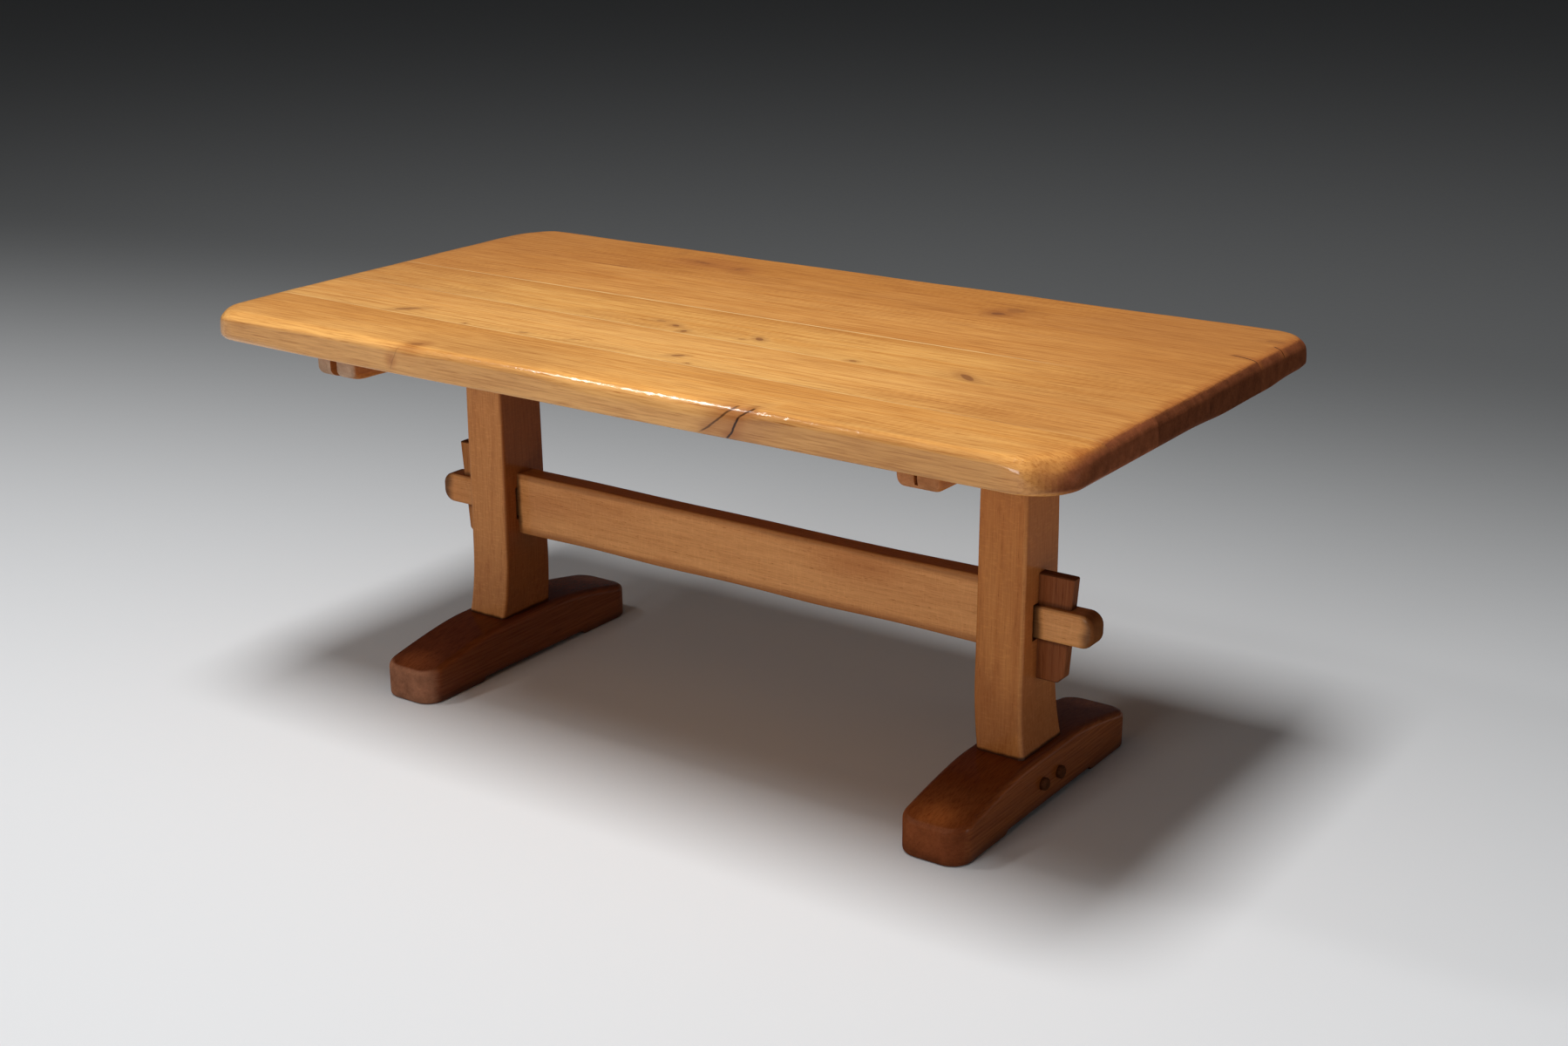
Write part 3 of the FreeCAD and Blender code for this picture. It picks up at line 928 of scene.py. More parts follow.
TOP_OAK = Oak(
    "top_oak",
    "top_oak",
    (0.810, 0.435, 0.130),
    (0.660, 0.290, 0.062),
    (0.540, 0.205, 0.036),
    end=(0.160, 0.049, 0.020),
    end_share=1.0,
    far_end_fade=(0.50, 0.98),
    tints=(FaceTint((0.0, -1.0, 0.0), (0.620, 0.325, 0.115), 0.75),),
    chatter=0.06,
)
FRAME_OAK = Oak(
    "frame_oak",
    "frame_oak",
    (0.540, 0.218, 0.060),
    (0.420, 0.146, 0.035),
    (0.320, 0.098, 0.021),
    end=(0.460, 0.250, 0.120),
    end_share=0.6,
    ring_share=0.52,
    # The first tint paints redder shade on the right-facing sides; the second paints a highlight along the
    # front right arris.
    tints=(
        FaceTint((1.0, 0.0, 0.0), (0.480, 0.158, 0.043), 0.72),
        FaceTint((0.71, -0.71, 0.0), (0.640, 0.285, 0.092), 0.45, 0.86, 0.98),
    ),
    fibre=0.20,
    fibre_scales=(14.0, 430.0, 430.0),
    pores=0.36,
    pore_scales=(46.0, 640.0, 640.0),
    flecks=0.14,
    coat=0.24,
    coat_roughness=0.18,
    roughness=0.42,
)
LEFT_POST_OAK = replace(
    FRAME_OAK,
    name="left_post_oak",
    # The first tint paints the deep shade of the table on the right-facing side; the second gives a paler
    # front.
    tints=(
        FaceTint((1.0, 0.0, 0.0), (0.215, 0.056, 0.013), 0.80),
        FaceTint((0.0, -1.0, 0.0), (0.640, 0.315, 0.130), 0.28),
    ),
)
BEARER_OAK = replace(FRAME_OAK, name="bearer_oak", end=(0.330, 0.142, 0.068), end_share=0.75)
LEFT_BEARER_OAK = replace(BEARER_OAK, name="left_bearer_oak", end=(0.390, 0.290, 0.215))
RAIL_OAK = replace(
    FRAME_OAK,
    name="rail_oak",
    pale=(0.700, 0.335, 0.122),
    warm=(0.590, 0.258, 0.083),
    deep=(0.430, 0.150, 0.042),
    end=(0.190, 0.058, 0.018),
    mottle=0.60,
    pores=0.50,
    pore_scales=(70.0, 640.0, 640.0),
    # The first tint paints the shade of the table on the upper face; the second paints a highlight along the
    # worn upper front arris.
    tints=(
        FaceTint((0.0, 0.0, 1.0), (0.205, 0.060, 0.014), 0.75),
        FaceTint((0.0, -0.71, 0.71), (0.740, 0.390, 0.160), 0.40, 0.88, 0.98),
    ),
    ring_share=0.18,
    flecks=0.08,
)
FOOT_OAK = Oak(
    "foot_oak",
    "foot_oak",
    (0.340, 0.100, 0.024),
    (0.240, 0.061, 0.014),
    (0.135, 0.031, 0.008),
    end=(0.128, 0.036, 0.016),
    end_share=0.7,
    # The first tint paints the shade of the table on the upper face; the second is a paler rim along the
    # near end's upper arris, wear with a painted highlight.
    tints=(
        FaceTint((0.0, 0.0, 1.0), (0.085, 0.016, 0.004), 0.66),
        FaceTint((0.0, -0.71, 0.71), (0.420, 0.170, 0.082), 0.50, 0.90, 0.99),
    ),
    fibre=0.36,
    fibre_scales=(9.0, 300.0, 300.0),
    coat=0.40,
    coat_roughness=0.14,
    roughness=0.40,
)
LEFT_FOOT_OAK = replace(
    FOOT_OAK,
    name="left_foot_oak",
    pale=(0.220, 0.060, 0.016),
    warm=(0.155, 0.037, 0.010),
    deep=(0.095, 0.021, 0.006),
    end=(0.250, 0.112, 0.064),
    end_share=0.85,
    # The first tint paints the shade of the table on the upper face; the second is a paler rim along the
    # near end's upper arris, wear with a painted highlight.
    tints=(
        FaceTint((0.0, 0.0, 1.0), (0.070, 0.013, 0.003), 0.68),
        FaceTint((0.0, -0.71, 0.71), (0.420, 0.180, 0.090), 0.50, 0.90, 0.99),
    ),
)
WEDGE_OAK = Oak(
    "wedge_oak",
    "wedge_oak",
    (0.255, 0.084, 0.029),
    (0.190, 0.057, 0.019),
    (0.115, 0.034, 0.011),
    end=(0.090, 0.032, 0.013),
    fibre=0.32,
    fibre_scales=(16.0, 420.0, 420.0),
    pores=0.5,
    coat=0.10,
    coat_roughness=0.25,
    roughness=0.46,
)
LEFT_WEDGE_OAK = replace(
    WEDGE_OAK,
    name="left_wedge_oak",
    pale=(0.480, 0.200, 0.066),
    warm=(0.360, 0.135, 0.040),
    deep=(0.260, 0.090, 0.024),
)
PEG_OAK = Oak(
    "peg_oak",
    "peg_oak",
    (0.150, 0.055, 0.022),
    (0.095, 0.032, 0.013),
    (0.055, 0.018, 0.007),
    end=(0.090, 0.032, 0.014),
    end_share=0.6,
    ring_spacing=0.003,
    coat=0.10,
    roughness=0.5,
)
TONGUE_WOOD = Oak(
    "tongue_wood",
    "tongue_wood",
    (0.620, 0.460, 0.270),
    (0.540, 0.380, 0.200),
    (0.460, 0.300, 0.150),
    end=(0.420, 0.280, 0.150),
    coat=0.0,
    roughness=0.6,
)


# Knots, cracks and stains by plank number, as the photo shows them.
KNOTS = {
    1: (
        Knot(-0.352, -0.432, 0.017, 0.009, 35.0, 0.70),
        Knot(-0.393, 0.722, 0.006, 0.011, -20.0, 0.26, 0.006, True),
        Knot(0.345, -0.430, 0.018, 0.007, 50.0, 0.45),
    ),
    2: (
        Knot(-0.550, -0.252, 0.026, 0.009, 40.0, 0.75),
        Knot(-0.385, -0.277, 0.006, 0.005, 0.0, 0.9),
        Knot(-0.255, -0.272, 0.012, 0.005, 10.0, 0.6),
        Knot(-0.150, -0.262, 0.014, 0.005, 35.0, 0.4),
        Knot(0.063, -0.252, 0.016, 0.008, 30.0, 0.9),
        Knot(0.105, -0.284, 0.006, 0.004, 0.0, 0.7),
    ),
    3: (
        Knot(-0.110, -0.078, 0.016, 0.007, 0.0, 0.6),
        Knot(-0.068, -0.090, 0.013, 0.008, -20.0, 0.95),
        Knot(-0.032, -0.115, 0.009, 0.008, 40.0, 0.95),
        Knot(0.085, -0.108, 0.010, 0.005, 10.0, 0.55),
        Knot(0.110, -0.092, 0.014, 0.008, -35.0, 0.95),
        Knot(0.320, -0.127, 0.010, 0.006, 0.0, 0.8),
        Knot(0.525, -0.115, 0.026, 0.009, -38.0, 0.95),
    ),
    5: (
        Knot(0.352, 0.285, 0.018, 0.014, 20.0, 1.0, 0.022),
        Knot(0.368, 0.322, 0.026, 0.030, 70.0, 0.55, 0.012),
        Knot(-0.345, 0.352, 0.030, 0.007, -10.0, 0.60),
        Knot(-0.245, 0.340, 0.014, 0.012, 40.0, 0.55),
        Knot(-0.430, 0.405, 0.018, 0.014, 90.0, 0.30),
        Knot(-0.465, 0.232, 0.028, 0.007, 5.0, 0.60),
        Knot(0.835, 0.360, 0.020, 0.010, 20.0, 0.55),
    ),
}
CRACKS = {
    1: (
        Crack((0.318, 0.747), (0.256, 0.702), 0.0022, 0.75, True),
        Crack((0.354, 0.752), (0.328, 0.733), 0.0022, 0.85, True),
        Crack((0.328, 0.733), (0.303, 0.698), 0.0026, 1.0, True),
        Crack((-0.377, 0.744), (-0.396, 0.706), 0.0016, 0.22, True),
    ),
    4: (
        Crack((0.640, 0.016), (0.632, -0.004), 0.0016, 0.5),
    ),
    5: (
        Crack((0.404, 0.232), (0.408, 0.192), 0.0016, 0.6),
        Crack((0.812, 0.240), (0.874, 0.226), 0.0022, 0.9),
        Crack((0.846, 0.330), (0.872, 0.318), 0.0020, 0.8),
    ),
}
STAIN_RUSSET = (0.360, 0.115, 0.027)
STAIN_AMBER = (0.520, 0.240, 0.066)
STAIN_REDDISH = (0.470, 0.165, 0.036)
PATCHES = {
    1: (
        Patch((0.600, -0.500, 0.690), 0.150, STAIN_AMBER, 1.0, 3.0),
        Patch((0.322, -0.452, 0.720), 0.070, (0.420, 0.180, 0.060), 0.70, 1.5),
        Patch((0.862, -0.420, 0.720), 0.120, (0.600, 0.245, 0.058), 0.75),
        Patch((0.888, -0.375, 0.722), 0.070, STAIN_RUSSET, 0.45),
        Patch((-0.210, -0.400, 0.750), 0.120, STAIN_AMBER, 0.50, 2.4),
        Patch((-0.395, -0.452, 0.722), 0.022, STAIN_REDDISH, 0.55),
        Patch((-0.352, -0.430, 0.750), 0.045, STAIN_REDDISH, 0.45),
    ),
    5: (
        Patch((-0.325, 0.350, 0.750), 0.070, STAIN_REDDISH, 0.75, 1.8),
        Patch((-0.235, 0.335, 0.750), 0.050, STAIN_REDDISH, 0.60, 1.4),
        Patch((0.352, 0.300, 0.750), 0.055, STAIN_REDDISH, 0.55),
        Patch((0.720, 0.330, 0.750), 0.220, (0.500, 0.200, 0.050), 0.50, 1.6),
    ),
}


@dataclass(frozen=True)
class Cuts:
    """The grid that a packed plank is cut into near its rim: places, steps and counts, in metres."""

    merge: float = 0.00001
    on_plane: float = 0.0000001
    flat_angle: float = 0.3
    fine_step: float = 0.002
    fine_count: int = 13
    inner_start: float = 0.028
    inner_step: float = 0.005
    inner_count: int = 9
    run_start: float = -0.784
    run_step: float = 0.007
    run_count: int = 225
    across_step: float = 0.008
    low_step: float = 0.004
    low_count: int = 6


@dataclass
class PlankTop:
    """The top: planks with hand-worked edges and their figure, and the loose tongues between them."""

    half_length: float = TOP_LENGTH / 2
    half_width: float = TOP_WIDTH / 2
    front: float = -TOP_WIDTH / 2
    height: float = 0.750
    thickness: float = 0.053
    corner_radius: float = 0.080
    back_right_corner: float = 0.052
    back_zone: Span = (0.1, 0.2)
    right_zone: Span = (0.4, 0.6)
    roundover: float = 0.013
    under_arris: float = 0.004
    soft_arris: float = 0.0030
    facet_lean: float = 45.0
    wander: float = 0.0022
    waver_waves: float = 3.6
    quiver_waves: float = 14.0
    front_zone: Span = (-0.30, -0.40)
    left_facet: float = 0.0062
    left_facet_lean: float = 20.0
    left_zone: Span = (-0.28, -0.62)
    left_zone_end: Span = (-0.87, -0.76)
    middle_facet: float = 0.0035
    middle_facet_lean: float = -6.0
    middle_softness: float = 0.0070
    middle_zone: Span = (-0.14, 0.06)
    middle_zone_end: Span = (0.40, 0.30)
    end_facet: float = 0.0015
    end_softness: float = 0.0060
    right_end_zone: Span = (0.80, 0.86)
    left_roll: float = 0.0070
    roll_softness: float = 0.0060
    left_end_zone: Span = (-0.79, -0.85)
    scoops: tuple[float, float, float, float] = (0.012, 0.001, 0.002, 0.002)
    scoop_softness: float = 0.0080
    scoop_reach: float = 0.105
    scoop_inset: float = 0.022
    under_cut: float = 0.0050
    under_cut_zone: Span = (-0.45, -0.85)
    end_under_cut: float = 0.0060
    end_under_cut_zone: Span = (0.78, 0.86)
    full_edge: float = 0.17
    full_edge_fade: Span = (0.04, 0.20)
    edge_seed: float = 4.0
    rim_zone: float = 0.085
    cuts: Cuts = Cuts()
    crease: float = 32.0
    seams_left: tuple[float, ...] = (0.175, 0.339, 0.497, 0.688)
    seams_right: tuple[float, ...] = (0.142, 0.302, 0.478, 0.680)
    heart_depth: float = 0.62
    heart_shift: float = 0.035
    seed_step: float = 7.3
    # Tones of the planks from the front; the darker back planks are partly painted shade where the light
    # falls off towards the back.
    tones: tuple[Colour, ...] = (
        (1.13, 1.15, 1.18),
        (1.12, 1.14, 1.19),
        (1.08, 1.09, 1.08),
        (0.97, 0.89, 0.83),
        (0.91, 0.81, 0.78),
    )
    end_tones: tuple[float, ...] = (1.25, 1.35, 0.85, 0.85, 1.0)
    corner_end_fade: tuple[float, float] = (0.34, 0.84)

    def build(self) -> None:
        """Works and dresses the planks, and dresses the tongues."""
        for number, (tone, end_tone) in enumerate(zip(self.tones, self.end_tones), start=1):
            oak = TOP_OAK.toned(tone, end_tone)
            if number == 1:
                oak = replace(oak, end_fade=self.corner_end_fade)
            material = oak.material(
                f"plank_{number}",
                Grain.ALONG_TABLE,
                (self._middle(number) + (-1) ** number * self.heart_shift, self.heart_depth),
                number * self.seed_step,
                KNOTS.get(number, ()),
                self._strips().get(number, ()),
                CRACKS.get(number, ()),
                grime_and_shade=self._ends(number),
                patches=PATCHES.get(number, ()),
            )
            node = f"top_plank_{number}"
            mesh = self._sliced(node, number)
            piece = self._worked_edge(material).apply(f"worked_plank_{number}", mesh)
            piece.data.polygons.foreach_set("use_smooth", [True] * len(piece.data.polygons))
            piece.data.set_sharp_from_angle(angle=math.radians(self.crease))
            place_piece(piece, [node])
        tongue = TONGUE_WOOD.material("tongues", Grain.ALONG_TABLE, (0.0, 0.65), 3.0)
        for number in range(1, len(self.tones)):
            dress(f"seam_tongue_{number}", tongue)

    def _worked_edge(self, material: Material) -> Shape:
        """The rule of the worked edge: a wandering facet along the upper arris, scooped at the corners.

        Args:
            material: The plank's finish.

        Returns:
            The tree.
        """
        shape = Shape("hand_worked_edge")
        half_length, half_width, height, thickness, usual_corner, tight_corner, roundover = shape.inputs(
            self, "half_length half_width height thickness corner_radius back_right_corner roundover"
        )
        wander, left_facet, middle_facet, end_facet, left_roll, seed = shape.inputs(
            self, "wander left_facet middle_facet end_facet left_roll edge_seed"
        )
        soft_arris, middle_softness, end_softness, roll_softness, scoop_softness = shape.inputs(
            self, "soft_arris middle_softness end_softness roll_softness scoop_softness"
        )
        under_arris, under_cut, end_under_cut = shape.inputs(self, "under_arris under_cut end_under_cut")

        x, y, z = shape.split(shape.place(), "XYZ")
        tightened = (tight_corner - usual_corner) * x.fade(*self.right_zone) * y.fade(*self.back_zone)
        corner = usual_corner + tightened
        past_x = (x.size() - half_length + corner).larger(0.0)
        past_y = (y.size() - half_width + corner).larger(0.0)
        past = (past_x * past_x + past_y * past_y).root()
        inward_x = 0.0 - x.sign() * past_x / past.larger(0.001)
        inward_y = 0.0 - y.sign() * past_y / past.larger(0.001)
        depth_in = corner - past
        depth_down = height - z

        slow = [x * self.waver_waves + seed, y * self.waver_waves, seed]
        quick = [x * self.quiver_waves + seed, y * self.quiver_waves, seed + 3.0]
        waver = shape.noise(shape.point(*slow), 2.0) - 0.5
        quiver = shape.noise(shape.point(*quick), 1.0) - 0.5
        at_front = y.fade(*self.front_zone)
        at_left = x.fade(*self.left_zone) * x.fade(*self.left_zone_end) * at_front
        at_middle = x.fade(*self.middle_zone) * x.fade(*self.middle_zone_end) * at_front
        at_left_end = x.fade(*self.left_end_zone)
        at_right_end = x.fade(*self.right_end_zone)
        cut = waver * wander * 3.0 + quiver * wander + at_right_end * end_facet
        cut = cut + at_left * left_facet + at_middle * middle_facet + at_left_end * left_roll
        soft = soft_arris + at_left_end * roll_softness + at_right_end * end_softness
        soft = soft + at_middle * middle_softness
        signs = ((1, -1), (-1, -1), (1, 1), (-1, 1))
        names = ("Front Right Scoop", "Front Left Scoop", "Back Right Scoop", "Back Left Scoop")
        for (side, end), name, amount in zip(signs, names, self.scoops):
            from_x = x - half_length * side + self.scoop_inset * side
            from_y = y - half_width * end + self.scoop_inset * end
            near = (from_x * from_x + from_y * from_y).root().fade(self.scoop_reach, 0.0)
            cut = cut + near * shape.input(name, amount)
            soft = soft + near * scoop_softness * (amount / max(self.scoops))

        turn = at_left * math.radians(self.left_facet_lean)
        turn = turn + at_middle * math.radians(self.middle_facet_lean)
        lean = math.radians(self.facet_lean) + turn
        level, steep = lean.cosine(), lean.sine()
        reach = roundover * (level + steep - 1.0) + cut - depth_in * level - depth_down * steep
        shaved = (reach + (reach * reach + soft * soft).root()) * 0.5
        slant = math.sqrt(0.5)
        rise = thickness - depth_down
        beside = (y - self.full_edge).size().fade(*self.full_edge_fade)
        hollow = under_cut * x.fade(*self.under_cut_zone)
        hollow = hollow + end_under_cut * x.fade(*self.end_under_cut_zone) * beside
        below = under_arris * (2.0 * slant - 1.0) + hollow - (depth_in + rise) * slant
        eased = (below + (below * below + soft_arris * soft_arris * 0.2).root()) * 0.5
        inwards = shaved * level + eased * slant
        offset = shape.point(inward_x * inwards, inward_y * inwards, eased * slant - shaved * steep)
        shape.finish(shape.moved(shape.start, offset), material)
        return shape

    def _sliced(self, node: str, number: int) -> bpy.types.Mesh:
        """Copy of a packed plank, merged and cut into a grid near the edges that are worked.

        Args:
            node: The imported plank.
            number: The plank, counted from the front.

        Returns:
            The mesh.
        """
        cuts = self.cuts
        work = bmesh.new()
        work.from_mesh(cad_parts[node].data)
        bmesh.ops.remove_doubles(work, verts=work.verts[:], dist=cuts.merge)
        bmesh.ops.dissolve_limit(
            work,
            angle_limit=math.radians(cuts.flat_angle),
            verts=work.verts[:],
            edges=work.edges[:],
            use_dissolve_boundaries=False,
        )
        fine = [cuts.fine_step * step for step in range(1, cuts.fine_count + 1)]
        insets = fine + [cuts.inner_start + cuts.inner_step * step for step in range(cuts.inner_count)]
        sign = -1.0 if number == 1 else 1.0
        inner_end = self.half_length - self.rim_zone
        self._cut(work, Axis.LENGTH, [-inner_end, inner_end])
        if number in (1, len(self.tones)):
            self._cut(work, Axis.WIDTH, [sign * (self.half_width - self.rim_zone)])
            run = [cuts.run_start + cuts.run_step * step for step in range(cuts.run_count)]
            self._cut(work, Axis.LENGTH, run, self._near_edge)
            rows = [sign * (self.half_width - inset) for inset in insets]
            self._cut(work, Axis.WIDTH, rows, self._near_edge)
        ends = [end * (self.half_length - inset) for inset in insets for end in (-1, 1)]
        self._cut(work, Axis.LENGTH, ends, self._near_end)
        lowest, highest = (corner.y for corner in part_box(node))
        count = int((highest - lowest) / cuts.across_step)
        across = [lowest + cuts.across_step * step for step in range(1, count + 1)]
        self._cut(work, Axis.WIDTH, across, self._near_end)
        levels = [self.height - drop for drop in fine]
        levels += [self.height - cuts.inner_start - cuts.low_step * step for step in range(cuts.low_count)]
        self._cut(work, Axis.HEIGHT, levels, self._near_rim)
        mesh = bpy.data.meshes.new(f"sliced_plank_{number}")
        work.to_mesh(mesh)
        work.free()
        return mesh

    def _near_end(self, middle: Vector) -> bool:
        """Whether a face lies near an end of the top, by the face's middle."""
        return abs(middle.x) > self.half_length - self.rim_zone

    def _near_edge(self, middle: Vector) -> bool:
        """Whether a face lies near the front or the back edge of the top, by the face's middle."""
        return abs(middle.y) > self.half_width - self.rim_zone

    def _near_rim(self, middle: Vector) -> bool:
        """Whether a face lies anywhere along the rim of the top, by the face's middle."""
        return self._near_end(middle) or self._near_edge(middle)

    def _cut(
        self,
        work: bmesh.types.BMesh,
        axis: Axis,
        places: Sequence[float],
        zone: Callable[[Vector], bool] | None = None,
    ) -> None:
        """Cuts a mesh along planes square to one axis.

        Args:
            work: The mesh.
            axis: The axis.
            places: Where the planes stand.
            zone: Which faces are cut, by their middles; all of them when not given.
        """
        normal = Vector((0.0, 0.0, 0.0))
        normal[axis] = 1.0
        for place in places:
            crossed = dict.fromkeys(
                face
                for edge in work.edges
                if (edge.verts[0].co[axis] - place) * (edge.verts[1].co[axis] - place) < 0.0
                for face in edge.link_faces
            )
            faces = [face for face in crossed if zone is None or zone(face.calc_center_median())]
            edges = dict.fromkeys(edge for face in faces for edge in face.edges)
            verts = dict.fromkeys(vert for face in faces for vert in face.verts)
            bmesh.ops.bisect_plane(
                work,
                geom=[*verts, *edges, *faces],
                dist=self.cuts.on_plane,
                plane_co=normal * place,
                plane_no=normal,
            )

    def _middle(self, number: int) -> float:
        """Place across the table of the middle of a plank, counted from the front."""
        lines = [0.0, *((a + b) / 2 for a, b in zip(self.seams_left, self.seams_right)), TOP_WIDTH]
        return self.front + (lines[number - 1] + lines[number]) / 2

    def _ends(self, number: int) -> tuple[GrimeAndShade, ...]:
        """Amber that deepens towards the ends of the top, and a russet rim along the right one.

        Args:
            number: The plank; the front ones stay paler.

        Returns:
            The right end's colours, then the left end's.
        """
        amber = (0.540, 0.220, 0.052)
        russet = (0.400, 0.125, 0.028)
        return (
            GrimeAndShade(Axis.LENGTH, self.half_length, 0.520, 0.04 if number == 1 else 0.64, amber),
            GrimeAndShade(Axis.LENGTH, self.half_length, 0.036, 0.80, russet),
            GrimeAndShade(Axis.LENGTH, -self.half_length, 0.480, 0.22 if number < 3 else 0.52, amber),
        )

    def _strips(self) -> dict[int, tuple[Strip, ...]]:
        """Pale and amber bands beside the seams, and a darker amber band towards the back edge.

        Returns:
            Bands by plank number.
        """
        pale = (0.800, 0.450, 0.140)
        amber = (0.560, 0.220, 0.040)
        light = (0.960, 0.680, 0.320)
        lines = [(self.front + a, self.front + b) for a, b in zip(self.seams_left, self.seams_right)]
        return {
            1: (
                Strip(*lines[0], 0.150, amber, 0.36),
                Strip(*lines[0], 0.150, amber, 0.30, (-1.0, -0.1)),
                Strip(self.front, self.front, 0.050, pale, 0.65, (-1.0, -0.42)),
            ),
            2: (
                Strip(*lines[1], 0.070, amber, 0.35),
                Strip(*lines[0], 0.050, pale, 0.45),
                Strip(*lines[0], 0.0045, light, 0.40, (-1.0, 0.9)),
            ),
            3: (
                Strip(*lines[2], 0.050, amber, 0.60, (-1.0, 0.5)),
                Strip(*lines[1], 0.060, pale, 0.40),
                Strip(*lines[1], 0.0045, light, 0.45, (-1.0, 0.3)),
            ),
            # Planks 4 and 5: darker amber towards the back edge, partly the wood's tone, partly painted
            # shade where the light falls off towards the back.
            4: (
                Strip(0.46, 0.46, 0.50, amber, 0.40),
                Strip(*lines[2], 0.0060, light, 0.62, (-1.0, 0.6)),
            ),
            5: (Strip(0.46, 0.46, 0.50, amber, 0.80),),
        }


@dataclass
class Trestle:
    """One trestle: foot, post and bearer."""

    side: str
    sign: float
    seed: float
    post_oak: Oak
    foot_oak: Oak
    bearer_oak: Oak
    painted_light_share: float
    foot_darkening: float
    foot_reach: float = 0.573
    foot_top: float = 0.098
    head_reach: float = 0.561
    # Colour the post darkens to near the foot: the wood's own redder foot, partly painted shade.
    stain: Colour = (0.230, 0.066, 0.015)
    foot_dark_reach: float = 0.170
    joint_reach: float = 0.008
    # Colour, height and reach of the light painted on the upper post.
    painted_light: Colour = (0.480, 0.175, 0.046)
    painted_light_height: float = 0.64
    painted_light_reach: float = 0.24
    sole_reach: float = 0.022
    pale_place: tuple[float, float] = (0.262, 0.056)
    pale_reach: float = 0.060

    def build(self) -> None:
        """Dresses the large pieces of the trestle."""
        reach = self.sign * self.foot_reach
        head = self.sign * self.head_reach
        # Darker towards the foot, partly painted shade; then a dark line at the joint with the foot, painted
        # shade with dirt.
        joints = (
            GrimeAndShade(Axis.HEIGHT, self.foot_top, self.foot_dark_reach, self.foot_darkening, self.stain),
            GrimeAndShade(Axis.HEIGHT, self.foot_top, self.joint_reach, 1.0),
        )
        # Painted light on the upper post, where its right side is lit.
        painted_light = [Patch((head, 0.0, self.painted_light_height), self.painted_light_reach, self.painted_light, self.painted_light_share)]
        heart = (reach - 0.02, 0.09)
        post = self.post_oak.material(
            f"{self.side}_post", Grain.UPRIGHT, heart, self.seed + 2.0, grime_and_shade=joints, patches=painted_light
        )
        dress(f"{self.side}_post", post)
        heart = (-0.03, reach + 0.05)
        # A dark band along the sole where the foot meets the floor: painted shade.
        sole = (GrimeAndShade(Axis.HEIGHT, 0.0, self.sole_reach, 0.60),)
        # The foot's own pale colour on the slopes near each end, laid over the painted shade of the upper
        # face.
        across, height = self.pale_place
        pale_spots = [
            Patch((reach, end * across, height), self.pale_reach, self.foot_oak.pale, 0.75)
            for end in (-1.0, 1.0)
        ]
        foot = self.foot_oak.material(
            f"{self.side}_foot", Grain.ACROSS_TABLE, heart, self.seed + 5.0, grime_and_shade=sole, patches=pale_spots
        )
        dress(f"{self.side}_foot", foot)
        heart = (0.60, head)
        bearer = self.bearer_oak.material(
            f"{self.side}_bearer", Grain.ACROSS_TABLE, heart, self.seed + 9.0
        )
        dress(f"{self.side}_bearer", bearer)


